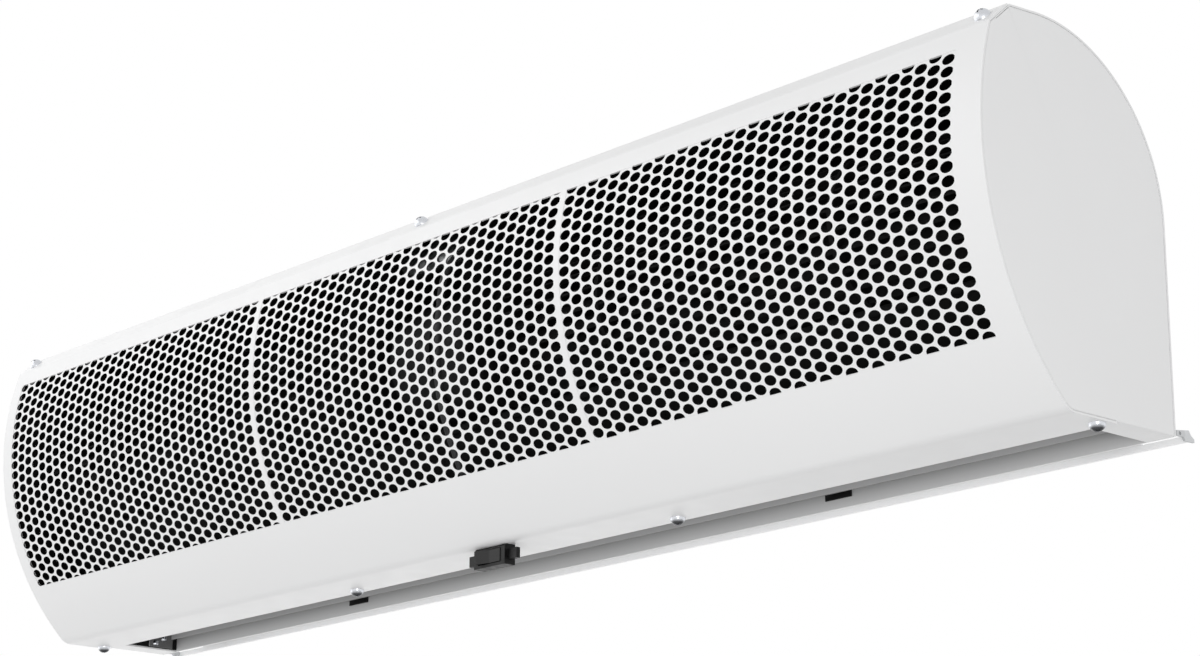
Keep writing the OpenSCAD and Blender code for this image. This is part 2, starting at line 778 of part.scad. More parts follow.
module blades() for (i = [0:blade_count - 1]) polygon(concat(
  [for (s = [0:0.5:1]) blade_point(s, 360 * i / blade_count, 1)],
  [for (s = [1:-0.5:0]) blade_point(s, 360 * i / blade_count, -1)]
));

module wheel_shape() {
  length = wheel_x1 - wheel_x0;
  bay = (length - disc_t) / wheel_bays;
  axle(wheel_x0, fan_c) {
    linear_extrude(length) blades();
    for (i = [0:wheel_bays]) translate([0, 0, i * bay]) difference() {
      cylinder(r = wheel_r, h = disc_t, $fn = fine);
      translate([0, 0, -1])
        cylinder(r = i == 0 || i == wheel_bays ? hub_r : blade_in - 1, h = disc_t + 2, $fn = mid);
    }
  }
}

module fan_wheel_right() color("silver") hung() wheel_shape();

module fan_wheel_left() color("silver") hung() mirror([1, 0, 0]) wheel_shape();

module wheel_hubs() color("darkgray") hung() both_sides() axle(wheel_x0, fan_c) difference() {
  union() {
    translate([0, 0, -hub_back]) cylinder(r = hub_r, h = hub_len, $fn = mid);
    translate([0, 0, -hub_flange_t]) cylinder(r = hub_flange_r, h = hub_flange_t, $fn = mid);
  }
  translate([0, 0, -hub_len]) cylinder(r = shaft_r, h = 3 * hub_len, $fn = mid);
  translate([0, 0, hub_screw_x]) rotate([0, 90, 0]) cylinder(r = 1.6, h = hub_r + 1, $fn = small);
}

module stub_shafts() color("darkgray") hung() both_sides() axle(wheel_x1, fan_c) {
  cylinder(r = hub_flange_r, h = stub_flange_t, $fn = mid);
  translate([0, 0, -stub_hub_len]) cylinder(r = hub_r, h = stub_hub_len, $fn = mid);
  cylinder(r = shaft_r, h = half_len - sheet_t - 3 - wheel_x1, $fn = mid);
}

// ---------- end bearings ----------

module bearing_housings() color("lightgray") hung() both_sides() {
  tube_x(inner_half, housing_len, rubber_bush_r, housing_r);
  tube_x(inner_half, housing_flange_t, rubber_bush_r, housing_flange_r);
}

module bearing_rubbers() color([0.12, 0.12, 0.12]) hung() both_sides()
  tube_x(inner_half + 1, housing_len - 1, bush_r, rubber_bush_r);

module bearing_bushes() color("peru") hung() both_sides()
  tube_x(inner_half + 0.5, housing_len, shaft_r + shaft_gap, bush_r);

// ---------- electrics ----------

module electrics_shelf() color("lightgray") hung() {
  x0 = bay_half - bulkhead_t - fit;
  translate([-x0, -shelf_front, shelf_z]) cube([2 * x0, shelf_front - shelf_back, sheet_t]);
  both_sides() translate([x0 - sheet_t, -shelf_front, shelf_z])
    cube([sheet_t, shelf_front - shelf_back, shelf_flange]);
}

capacitor_c = [capacitor_y, shelf_z + sheet_t + 2 * fit + capacitor_r];

module run_capacitor() color("whitesmoke") hung() axle(capacitor_x - capacitor_len / 2, capacitor_c) {
  cylinder(r = capacitor_r, h = capacitor_len, $fn = mid);
  translate([0, 0, capacitor_len]) {
    cylinder(r = capacitor_r - 2, h = 2, $fn = mid);
    for (side = [-1, 1]) translate([-0.4, side * 5 - 2.5, 0]) cube([0.8, 5, 9]);
  }
}

// An arch over the capacitor: half a ring on two legs
module arch(r) {
  translate(capacitor_c) circle(r = r, $fn = mid);
  translate([capacitor_y - r, shelf_z + sheet_t]) square([2 * r, capacitor_c[1] - shelf_z - sheet_t]);
}

module capacitor_clamp() color("silver") hung()
  along(capacitor_x - clamp_w / 2, capacitor_x + clamp_w / 2) difference() {
    union() {
      arch(capacitor_r + fit + sheet_t);
      translate([capacitor_y - capacitor_r - clamp_foot, shelf_z + sheet_t])
        square([2 * (capacitor_r + clamp_foot), sheet_t]);
    }
    arch(capacitor_r + fit);
    translate([capacitor_y - far, shelf_z - 10]) square([2 * far, 10 + sheet_t]);
  }

module terminal_block() color("ivory") hung() difference() {
  translate([-terminal_size[0] / 2 + 5, terminal_y - terminal_size[1] / 2, shelf_z + sheet_t])
    cube(terminal_size);
  for (i = [0:4]) translate([way_x(i), terminal_y, terminal_z]) {
    cylinder(r = 3, h = 10, $fn = small);
    for (side = [0, 180])
      rotate([90, 0, side]) translate([0, 0, 4]) cylinder(r = lead_r + fit, h = 10, $fn = small);
  }
}

module cable_grommet() color([0.12, 0.12, 0.12]) hung() translate([grommet_x, grommet_lip, grommet_z])
  rotate([90, 0, 0]) difference() {
    union() {
      cylinder(r = grommet_r - fit, h = sheet_t + 2 * grommet_lip, $fn = mid);
      cylinder(r = grommet_r + 3, h = grommet_lip - fit / 2, $fn = mid);
      translate([0, 0, grommet_lip + sheet_t + fit / 2])
        cylinder(r = grommet_r + 3, h = grommet_lip - fit / 2, $fn = mid);
    }
    translate([0, 0, -1]) cylinder(r = grommet_bore_r, h = 20, $fn = mid);
  }

// A point between b and c of a smooth curve that passes through a, b, c and d, at a share t of the way
function between(a, b, c, d, t) =
  b + t / 2 * (c - a + t * (2 * a - 5 * b + 4 * c - d + t * (3 * b - a - 3 * c + d)));

function curve(route) = concat(
  [
    for (i = [0:len(route) - 2], k = [0:lead_steps - 1]) between(
      route[max(i - 1, 0)], route[i], route[i + 1], route[min(i + 2, len(route) - 1)], k / lead_steps
    )
  ],
  [route[len(route) - 1]]
);

// A ring of corners round point i of a curve, square to the curve there
function lead_ring(points, i) =
  let (
    step = points[min(i + 1, len(points) - 1)] - points[max(i - 1, 0)],
    ahead = step / norm(step),
    side = cross(ahead, [1, 0, 0]) / norm(cross(ahead, [1, 0, 0])),
    over = cross(ahead, side)
  )
  [
    for (k = [0:lead_sides - 1])
      points[i] + lead_r * (cos(360 * k / lead_sides) * side + sin(360 * k / lead_sides) * over)
  ];

// A lead of round section along the smooth curve through the points of a route
module lead(route) {
  points = curve(route);
  last = len(points) - 1;
  polyhedron(
    points = [for (i = [0:last]) each lead_ring(points, i)],
    faces = concat(
      [[for (k = [0:lead_sides - 1]) k]],
      [[for (k = [lead_sides - 1:-1:0]) last * lead_sides + k]],
      [
        for (i = [0:last - 1], k = [0:lead_sides - 1])
          let (a = i * lead_sides + k, b = i * lead_sides + (k + 1) % lead_sides)
          each [[a, a + lead_sides, b], [b, a + lead_sides, b + lead_sides]]
      ]
    )
  );
}

module motor_lead() color([0.2, 0.2, 0.2]) hung() lead(motor_lead_route);

module switch_lead() color([0.2, 0.2, 0.2]) hung() lead(switch_lead_route);

// ---------- switch ----------

module switch_body() color([0.08, 0.08, 0.08]) hung() translate([switch_x, switch_y, 0]) difference() {
  union() {
    rotate([90, 0, 90]) translate([0, 0, -switch_w / 2]) linear_extrude(switch_w) polygon([
      [switch_d / 2, 0], [-switch_d / 2 + 1.5, 0], [-switch_d / 2, -1.5],
      [-switch_d / 2, -switch_h], [switch_d / 2, -switch_h]
    ]);
    translate([-switch_w / 2 - ear_len, -ear_t / 2, -switch_h / 2 - ear_h / 2])
      cube([switch_w + 2 * ear_len, ear_t, ear_h]);
  }
  translate([-rocker_w / 2 - rocker_gap, -switch_d / 2 - 1, -switch_h / 2 - rocker_h / 2 - rocker_gap])
    cube([rocker_w + 2 * rocker_gap, rocker_depth + 1, rocker_h + 2 * rocker_gap]);
  translate([0, rocker_y - switch_y, -switch_h / 2 - rocker_h / 2 - 1.5])
    cylinder(r = rocker_pin_r + shaft_gap, h = rocker_h + 3, $fn = small);
  translate([0, switch_lead_y - switch_y, -switch_lead_depth - fit])
    cylinder(r = lead_r + fit, h = 5, $fn = small);
}

// The rocker turns on its upright pin, and its two wings slope back from the middle
module switch_rocker() color([0.1, 0.1, 0.1]) hung() translate([switch_x, rocker_y, rocker_z]) {
  w = rocker_w / 2 - 0.3;
  rotate([0, 0, rocker_deg]) translate([0, 0, -rocker_h / 2]) linear_extrude(rocker_h) polygon([
    [0, -2.4], [w, -2.4 - w * tan(rocker_deg)], [w, -0.6 - w * tan(rocker_deg)],
    [rocker_pin_r + 0.6, 1.2], [-rocker_pin_r - 0.6, 1.2],
    [-w, -0.6 - w * tan(rocker_deg)], [-w, -2.4 - w * tan(rocker_deg)]
  ]);
  translate([0, 0, -rocker_h / 2 - 1.2]) cylinder(r = rocker_pin_r, h = rocker_h + 2.4, $fn = small);
}

// ---------- wall brackets ----------

module keyhole(z) translate([stud_x, -1, z]) rotate([-90, 0, 0]) {
  cylinder(r = stud_r + stud_gap, h = 5, $fn = mid);
  translate([0, -keyhole_rise, 0]) cylinder(r = stud_head_r + 3 * stud_gap, h = 5, $fn = mid);
  translate([-stud_r - stud_gap, -keyhole_rise, 0]) cube([2 * (stud_r + stud_gap), keyhole_rise, 5]);
}

module bracket_shape() difference() {
  union() {
    translate([bracket_outer - bracket_w, wall_gap - bracket_t, bracket_bottom])
      cube([bracket_w, bracket_t, bracket_top - bracket_bottom]);
    translate([bracket_outer - bracket_t, 0, web_bottom])
      cube([bracket_t, wall_gap, unit_flange_top - web_bottom]);
    translate([bracket_outer - unit_flange_w, 0, web_bottom])
      cube([unit_flange_w, bracket_t, unit_flange_top - web_bottom]);
  }
  for (z = [-1, 1]) translate([half_len - wall_hole_inset, 0, wall_hole_mid + z * wall_hole_z / 2])
    rotate([-90, 0, 0]) translate([0, 0, wall_gap - 5]) cylinder(r = wall_hole_r, h = 10, $fn = mid);
  for (z = stud_z) keyhole(z);
  for (x = rail_screw_x) rail_screw_at(x) translate([0, 0, -10])
    cylinder(r = small_r + screw_gap, h = 20, $fn = small);
}

module rail_screw_at(x) translate([x, rail_face, rail_screw_z]) rotate([90, 0, 0]) children();

// The rail that joins both brackets, narrow at its ends
module wall_rail() color("whitesmoke") hung() difference() {
  translate([-rail_half, rail_face, rail_bottom]) cube([2 * rail_half, bracket_t, rail_top - rail_bottom]);
  both_sides() {
    translate([bracket_outer + 1, rail_face - 1, rail_end_top])
      cube([bracket_inset, bracket_t + 2, rail_top]);
    for (x = rail_screw_x) rail_screw_at(x) translate([0, 0, -10])
      cylinder(r = small_r + screw_gap, h = 20, $fn = small);
  }
}

// The lug on each end of the rail, which shows at a lower back corner
module rail_lugs() color("silver") hung() both_sides() difference() {
  along(rail_half, rail_half + bracket_t) polygon(lug_shape);
  axle(rail_half - 1, lug_hole) cylinder(r = lug_hole_r, h = bracket_t + 2, $fn = small);
}

module wall_rail_screws() color("silver") hung() both_sides() for (x = rail_screw_x)
  rail_screw_at(x) small_screw(2 * bracket_t - fit);

module wall_bracket_right() color("silver") hung() bracket_shape();

module wall_bracket_left() color("silver") hung() mirror([1, 0, 0]) bracket_shape();

module hanging_studs() color("darkgray") hung() both_sides() for (z = stud_z)
  translate([stud_x, 0, z]) rotate([-90, 0, 0]) {
    translate([0, 0, -sheet_t - 1.4]) cylinder(r = stud_r + 2, h = 1.3, $fn = small);
    translate([0, 0, -sheet_t - 0.2]) cylinder(r = stud_r, h = sheet_t + bracket_t + 0.7, $fn = small);
    translate([0, 0, bracket_t + 0.3]) cylinder(r = stud_head_r, h = stud_head_t, $fn = small);
  }

rear_panel();
front_cover();
intake_screen_left();
intake_screen_centre();
intake_screen_right();
end_plate_left();
end_plate_right();
cover_screws_top();
cover_screws_bottom();
outlet_rear_wall();
rear_wall_clips();
rear_wall_screws();
front_air_guide();
scroll_left();
scroll_right();
end_bulkhead_left();
end_bulkhead_right();
motor_bulkhead_left();
motor_bulkhead_right();
bulkhead_screws();
motor_bay_floor();
motor_shell_left();
motor_shell_right();
motor_stator();
motor_bearings();
motor_rotor();
motor_rubber_rings();
motor_ring_brackets();
ring_bracket_screws();
fan_wheel_left();
fan_wheel_right();
wheel_hubs();
stub_shafts();
bearing_housings();
bearing_rubbers();
bearing_bushes();
electrics_shelf();
run_capacitor();
capacitor_clamp();
terminal_block();
cable_grommet();
motor_lead();
switch_lead();
switch_body();
switch_rocker();
wall_bracket_left();
wall_bracket_right();
wall_rail();
wall_rail_screws();
rail_lugs();
hanging_studs();
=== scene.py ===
"""Looks of a wall-hung air curtain: bowed perforated front, outlet slot, rocker switch and wall brackets.

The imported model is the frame. X runs along the casing, -Y is the front, the wall is the plane Y = 0 and
+Z is up. Sections are written in the casing's own millimetres, [y, z], with y = 0 at its back and z = 0
at its underside.
"""

import math

import bmesh
import bpy
import numpy as np
from bpy.props import FloatProperty, FloatVectorProperty, IntProperty, PointerProperty
from mathutils import Matrix, Vector


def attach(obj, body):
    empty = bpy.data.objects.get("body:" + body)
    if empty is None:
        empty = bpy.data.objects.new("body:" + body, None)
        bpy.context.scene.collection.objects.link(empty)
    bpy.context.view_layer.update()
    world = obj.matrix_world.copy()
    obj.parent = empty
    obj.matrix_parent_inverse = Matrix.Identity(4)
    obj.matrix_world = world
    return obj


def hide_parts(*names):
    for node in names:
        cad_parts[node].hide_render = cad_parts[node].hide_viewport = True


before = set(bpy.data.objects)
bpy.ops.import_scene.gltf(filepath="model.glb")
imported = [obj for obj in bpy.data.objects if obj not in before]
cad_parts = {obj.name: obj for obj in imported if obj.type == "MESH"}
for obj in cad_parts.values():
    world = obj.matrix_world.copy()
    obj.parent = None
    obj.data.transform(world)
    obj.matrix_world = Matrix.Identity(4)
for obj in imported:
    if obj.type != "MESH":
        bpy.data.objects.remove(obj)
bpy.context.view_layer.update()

bl_info = {
    "name": "Air curtain",
    "version": (1, 0, 0),
    "blender": (4, 5, 0),
    "location": "3D View > Sidebar > Air curtain",
    "description": "Builds the looks of a wall-hung air curtain around its packed frame",
    "category": "Object",
}

MM = 0.001
WALL_GAP = 17.0  # casing's back to the wall
UNDERSIDE = 120.0  # wall screws' middle above the underside
SLOT_EDGE = -UNDERSIDE * MM  # height of the underside in the row frame


# ---------- sizes and colours a user may change ----------


def length(name, description, default, low=0.0):
    """A length property shown in the scene's units."""
    return FloatProperty(
        name=name,
        description=description,
        default=default,
        min=low,
        unit="LENGTH",
        subtype="DISTANCE",
        precision=5,
    )


def colour(name, description, default):
    """A linear colour property."""
    return FloatVectorProperty(
        name=name,
        description=description,
        default=default,
        min=0.0,
        max=1.0,
        size=3,
        subtype="COLOR",
    )


class CasingSizes(bpy.types.PropertyGroup):
    """Sizes of the casing's sheets and windows"""

    sheet: length("Sheet", "Thickness of the casing's sheet steel", 0.0012)
    fold: length("Fold", "Outer radius of the end plates' folds", 0.0009)
    window_margin: length("End margin", "Plain margin at each end of the row of windows", 0.0165)
    window_strip: length("Strip", "Plain strip between two windows", 0.005)
    window_shift: length("Windows' shift", "How far left of the middle the row of windows lies", 0.0045)
    flange: length("End flange", "Width of the flanges that the end plates turn inwards", 0.019)


class ScreenSizes(bpy.types.PropertyGroup):
    """Sizes of the perforated screens"""

    thickness: length("Thickness", "Thickness of the perforated sheet", 0.0008)
    set_back: length("Set back", "Depth of the perforated sheet's face behind the cover's", 0.0003)
    hole_width: length("Hole width", "Width of a hole, along the casing", 0.0092)
    hole_height: length("Hole height", "Height of a hole, along the curve", 0.0065)
    pitch_across: length("Column pitch", "Spacing of the columns of holes", 0.00999)
    pitch_along: length("Hole pitch", "Spacing of the holes in a column", 0.00788)
    first_hole: length("First hole", "Window's upper edge to the middle of the first whole hole", 0.0041)
    row_slide: length("Row slide", "Drop of the holes from each screen to the one on its left", 0.0013)
    columns: IntProperty(name="Columns", description="Columns of holes in one screen", default=32, min=1)


class Finishes(bpy.types.PropertyGroup):
    """Colours of the main finishes"""

    paint: colour("Paint", "White powder coat of the casing", (0.81, 0.812, 0.815))
    screen: colour("Screens", "White paint of the perforated sheets", (0.8, 0.802, 0.805))
    duct: colour("Duct", "Grey coat of the outlet's rear wall", (0.66, 0.66, 0.665))
    # The lining's black also stands in for the shade inside the casing.
    lining: colour("Lining", "Dark coat on the inner side of the air path, also painted shade", (0.004, 0.004, 0.0042))
    zinc: colour("Zinc", "Zinc-plated sheet", (0.6, 0.61, 0.62))
    screws: colour("Screws", "Zinc plate of the screws", (0.4, 0.41, 0.43))
    plastic: colour("Plastic", "Black plastic of the switch and clips", (0.0015, 0.0015, 0.0016))


def sizes():
    """The casing's sizes, as set in the scene."""
    return bpy.context.scene.aircurtain_casing


def screen_sizes():
    """The screens' sizes, as set in the scene."""
    return bpy.context.scene.aircurtain_screens


def finishes():
    """The colours, as set in the scene."""
    return bpy.context.scene.aircurtain_finishes


# ---------- section of the casing, in millimetres ----------

FRONT_C = np.array([42.2, 145.7])  # centre of the bowed front
FRONT_R = 197.6
BACK_C = np.array([-101.0, 122.0])  # centre of the rounded upper back
BACK_R = 101.0
TOP_DEG = 93.3  # where the rounded back runs into the sloping top
TOP_OUT = np.array([math.cos(math.radians(TOP_DEG)), math.sin(math.radians(TOP_DEG))])
CREST_Y = -129.7  # fold between the top and the bevelled flange
CREST = np.array([CREST_Y, (BACK_C @ TOP_OUT + BACK_R - CREST_Y * TOP_OUT[0]) / TOP_OUT[1]])
BEVEL_HIGH = 13.6  # height of the bevelled flange
BEVEL_Z = CREST[1] - BEVEL_HIGH
BEND_R = 12.0  # bend between the front and the bottom flange
SLOT_FRONT = 52.0  # slot's front edge from the back
DUCT_TOP = 60.0  # height up to which the slot shows the rear panel's inner side
HALF = 500.0  # half the casing's length
WINDOW_DROP = 12.9  # bevelled flange's lower edge to the windows, along the curve
WINDOW_ARC = 162.8  # height of the windows, along the curve
# Upper and lower edge of the windows, in degrees above the horizontal through the front's centre
WINDOW_TOP = math.degrees(math.asin((BEVEL_Z - FRONT_C[1]) / FRONT_R) - WINDOW_DROP / FRONT_R)
WINDOW_LOW = WINDOW_TOP - math.degrees(WINDOW_ARC / FRONT_R)
LIP_DEPTH = 15.0  # how far the rear panel's lip reaches down behind the bevelled flange
LIP_GAP = 0.1  # play between the lip and the cover
LIP_STEP = 1.6  # crest to the start of the rear panel's top
PAINTED_END = 4.0  # painted band at each end of the rear panel's inner side
BASE_PLAY = 0.05  # rear panel's lower edge over the end plates' flange
SIDE_FLANGE = 11.0  # width of the end plates' flanges beside the windows
FLANGE_ROOT = 10.0  # end plate's face to the line where the flanges stop changing width
WINDOW_CLEAR = 1.5  # degrees by which that narrow flange reaches past the windows
PLATE_MIDDLE = np.array([-75.0, 115.0])  # point towards which the end plates' rings shrink
SCREEN_PLAY = 0.6  # gap left between two neighbouring screens
SCREEN_SLIDES = {"left": 2.1, "centre": 1.2, "right": 0.4}  # drop of each lattice, in row slides


def unit(v):
    """The vector at length 1."""
    return np.asarray(v, float) / np.linalg.norm(v)


BEVEL_FOOT = np.array([FRONT_C[0] - math.sqrt(FRONT_R**2 - (BEVEL_Z - FRONT_C[1]) ** 2), BEVEL_Z])
BEVEL_DIR = unit(CREST - BEVEL_FOOT)
BEVEL_OUT = np.array([-BEVEL_DIR[1], BEVEL_DIR[0]])
BEND_C = np.array(
    [FRONT_C[0] - math.sqrt((FRONT_R - BEND_R) ** 2 - (FRONT_C[1] - BEND_R) ** 2), BEND_R]
)
BEND_DEG = math.degrees(math.atan2(*(BEND_C - FRONT_C)[::-1])) % 360


def arc(centre, radius, start, end, count):
    """Points and outward normals on a circle: centre plus radius times the cosine and sine of angles
    in even steps."""
    a = np.radians(np.linspace(start, end, count))
    n = np.stack([np.cos(a), np.sin(a)], 1)
    return np.asarray(centre) + radius * n, n


def line(p, q, normal, count=2):
    """Points in even steps from p to q, with one normal."""
    t = np.linspace(0, 1, count)[:, None]
    return np.asarray(p) * (1 - t) + np.asarray(q) * t, np.tile(unit(normal), (count, 1))


def fillet(corner, n0, n1, radius, count=6):
    """A rounded convex corner between lines of outward normals n0 and n1: the arc of that radius which
    touches both."""
    n0, n1 = unit(n0), unit(n1)
    centre = np.asarray(corner) - radius * (n0 + n1) / (1 + n0 @ n1)
    a0, a1 = math.atan2(n0[1], n0[0]), math.atan2(n1[1], n1[0])
    turn = (a1 - a0 + math.pi) % (2 * math.pi) - math.pi
    return arc(centre, radius, math.degrees(a0), math.degrees(a0 + turn), count)


def joined(*parts):
    """One run of points and normals from several, without the points that two neighbours share."""
    pts = np.concatenate([p for p, _ in parts])
    nrm = np.concatenate([n for _, n in parts])
    keep = np.concatenate([[True], np.linalg.norm(np.diff(pts, axis=0), axis=1) > 1e-4])
    return pts[keep], nrm[keep]


def front_angle(above):
    """Angle on the front's circle of a line so many degrees above the horizontal."""
    return 180.0 - above


def crest_in(d):
    """The crest, drawn in by d on both sides: where the two offset lines meet."""
    m = np.stack([TOP_OUT, BEVEL_OUT])
    return np.linalg.solve(m, [BACK_C @ TOP_OUT + BACK_R - d, CREST @ BEVEL_OUT - d])


def bevel_foot_in(d):
    """Where the bevelled flange, drawn in by d, meets the front's circle of radius FRONT_R - d."""
    p, r = crest_in(d) - FRONT_C, FRONT_R - d
    b = p @ BEVEL_DIR
    return FRONT_C + p - BEVEL_DIR * (b + math.sqrt(b * b - p @ p + r * r))


def front_run(d, fold, upto):
    """The front of the section drawn in by d: bend, bowed front, fold and bevelled flange, up to a point."""
    r = FRONT_R - d
    foot = bevel_foot_in(d)
    foot_n = unit(foot - FRONT_C)
    reach = fold * math.tan(math.acos(np.clip(foot_n @ BEVEL_OUT, -1, 1)) / 2)
    foot_deg = math.degrees(math.atan2(foot_n[1], foot_n[0])) + math.degrees(reach / r)
    hi, lo = front_angle(WINDOW_TOP), front_angle(WINDOW_LOW)
    return [
        arc(BEND_C, BEND_R - d, 270, BEND_DEG, 10),
        arc(FRONT_C, r, BEND_DEG, lo, 14),
        arc(FRONT_C, r, lo, hi, 48),
        arc(FRONT_C, r, hi, foot_deg, 4),
        fillet(foot, foot_n, BEVEL_OUT, fold),
        line(foot + reach * BEVEL_DIR, upto, BEVEL_OUT, 3),
    ]


def on_front(pts, d=0.0, tolerance=0.01):
    """Each point's degrees above the horizontal, and whether it lies on the front's circle drawn in by d."""
    above = np.degrees(np.arctan2(pts[:, 1] - FRONT_C[1], FRONT_C[0] - pts[:, 0]))
    return above, np.abs(np.linalg.norm(pts - FRONT_C, axis=1) - FRONT_R + d) < tolerance


def back_run(d, start, bottom):
    """The back of the section drawn in by d: top line, rounded back and upright back down to a height."""
    return [
        line(start, BACK_C + (BACK_R - d) * TOP_OUT, TOP_OUT, 3),
        arc(BACK_C, BACK_R - d, TOP_DEG, 0, 40),
        line([-d, BACK_C[1]], [-d, DUCT_TOP], [1, 0], 3),
        line([-d, DUCT_TOP], [-d, bottom], [1, 0], 3),
    ]


# ---------- meshes ----------


def placed(x, yz):
    """Points of the row frame, in metres, from x and [y, z] of the casing in millimetres."""
    x, yz = np.broadcast_arrays(np.asarray(x, float)[..., None], np.asarray(yz, float))
    return np.stack([x[..., 0], yz[..., 0] - WALL_GAP, yz[..., 1] - UNDERSIDE], -1) * MM


def linked(name, data):
    """A new object in the scene's collection."""
    obj = bpy.data.objects.new(name, data)
    bpy.context.collection.objects.link(obj)
    return obj


def smoothed(mesh, sharp):
    """Smooth shading, with edges of more than sharp degrees left sharp."""
    mesh.shade_smooth()
    mesh.set_sharp_from_angle(angle=math.radians(sharp))


def new_object(name, verts, faces, materials, body, index, replaces):
    """A finished piece of three- and four-sided faces, given as rows of vertex numbers where -1 ends
    a triangle, with a material number for each."""
    faces = np.asarray(faces, np.int32)
    count = np.where(faces[:, 3] < 0, 3, 4)
    loops = faces[faces >= 0]
    mesh = bpy.data.meshes.new(name)
    mesh.vertices.add(len(verts))
    mesh.vertices.foreach_set("co", np.asarray(verts, np.float32).ravel())
    mesh.loops.add(len(loops))
    mesh.loops.foreach_set("vertex_index", loops)
    mesh.polygons.add(len(faces))
    mesh.polygons.foreach_set("loop_start", np.concatenate([[0], np.cumsum(count)[:-1]]).astype(np.int32))
    for m in materials:
        mesh.materials.append(m)
    mesh.polygons.foreach_set("material_index", np.asarray(index, np.int32))
    mesh.update(calc_edges=True)
    mesh.validate()
    smoothed(mesh, 35.0)
    obj = linked(name, mesh)
    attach(obj, body)
    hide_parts(*replaces)
    return obj


def quads(a, b, c, d):
    """Rows of four vertex numbers from four arrays of them."""
    return np.stack([np.ravel(v) for v in (a, b, c, d)], 1)


def grid_faces(rows, cols, closed_rows=False, closed_cols=False):
    """Faces of a grid of rows x cols vertices, numbered row by row, that may close on itself either way."""
    i = np.arange(rows if closed_rows else rows - 1)[:, None]
    j = np.arange(cols if closed_cols else cols - 1)[None, :]
    i1, j1 = (i + 1) % rows, (j + 1) % cols
    return quads(i * cols + j, i1 * cols + j, i1 * cols + j1, i * cols + j1)


def volume(verts, faces):
    """Volume inside the faces, positive where they point outwards: the sum of their tetrahedra to the
    origin."""
    tri = np.concatenate([faces[:, [0, 1, 2]], faces[faces[:, 3] >= 0][:, [0, 2, 3]]])
    a, b, c = (verts[tri[:, k]] for k in range(3))
    return float(np.einsum("ij,ij->i", a, np.cross(b, c)).sum() / 6)


def turned_out(verts, faces):
    """The faces, all reversed if they point inwards."""
    if volume(verts, faces) >= 0:
        return faces
    tri = faces[:, 3] < 0
    out = faces[:, ::-1].copy()
    out[tri] = np.column_stack([faces[tri][:, [2, 1, 0]], np.full(tri.sum(), -1)])
    return out


def shell(outer, inner, faces):
    """A closed wall from an open surface: the outer face, the inner face reversed and a strip along each
    free edge. Returns the vertices, the faces and a tag per face: 0 outer, 1 inner, 2 edge."""
    n = len(outer)
    faces = np.asarray(faces)
    edges = np.concatenate([np.stack([faces[:, k], faces[:, (k + 1) % 4]], 1) for k in range(4)])
    key = np.sort(edges, 1)
    _, back, count = np.unique(key, axis=0, return_inverse=True, return_counts=True)
    free = edges[count[back.ravel()] == 1]
    a, b = free[:, 0], free[:, 1]
    rim = np.stack([b, a, a + n, b + n], 1)
    every = np.concatenate([faces, faces[:, ::-1] + n, rim])
    tag = np.repeat([0, 1, 2], [len(faces), len(faces), len(rim)])
    verts = np.concatenate([outer, inner])
    return verts, turned_out(verts, every), tag


def carried(x, pts, nrm, thick, coat, open_cells=None):
    """A sheet of constant section along X: the section's points at each x, and the same points drawn in by
    the thickness along their normals. Cell [i, j] lies between x lines i and i+1, points j and j+1:
    open_cells leaves a hole there, and coat is the material number of its inner side. Returns vertices,
    faces, material numbers."""
    x = np.asarray(x, float)
    outer = placed(x[:, None], np.broadcast_to(pts, (len(x), *pts.shape)))
    inner = placed(x[:, None], np.broadcast_to(pts - thick * nrm, (len(x), *pts.shape)))
    faces = grid_faces(len(x), len(pts))
    kept = np.full(len(faces), True) if open_cells is None else ~np.asarray(open_cells).ravel()
    verts, every, tag = shell(outer.reshape(-1, 3), inner.reshape(-1, 3), faces[kept])
    index = np.zeros(len(every), np.int32)
    index[tag == 1] = np.broadcast_to(coat, (len(x) - 1, len(pts) - 1)).ravel()[kept]
    return verts, every, index


def soft_edges(obj, width, angle=50):
    """Rounds the edges of a piece that turn by more than the angle, in degrees."""
    m = obj.modifiers.new("Rounded edges", "BEVEL")
    m.width = width
    m.segments = 2
    m.limit_method = "ANGLE"
    m.angle_limit = math.radians(angle)
    m.harden_normals = True


def merged_copy(node, name, key, width, body):
    """A copy of a CAD node, welded, with its flat faces whole again, its edges rounded and one finish."""
    bm = bmesh.new()
    bm.from_mesh(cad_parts[node].data)
    bmesh.ops.remove_doubles(bm, verts=bm.verts, dist=2e-6)
    bmesh.ops.dissolve_limit(
        bm,
        angle_limit=math.radians(1.0),
        verts=bm.verts,
        edges=bm.edges,
        use_dissolve_boundaries=False,
    )
    bmesh.ops.recalc_face_normals(bm, faces=bm.faces)
    mesh = bpy.data.meshes.new(name)
    bm.to_mesh(mesh)
    bm.free()
    mesh.materials.append(finish_of(key))
    mesh.polygons.foreach_set("material_index", np.zeros(len(mesh.polygons), np.int32))
    smoothed(mesh, 30)
    obj = linked(name, mesh)
    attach(obj, body)
    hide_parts(node)
    soft_edges(obj, width, 30)


# ---------- materials ----------


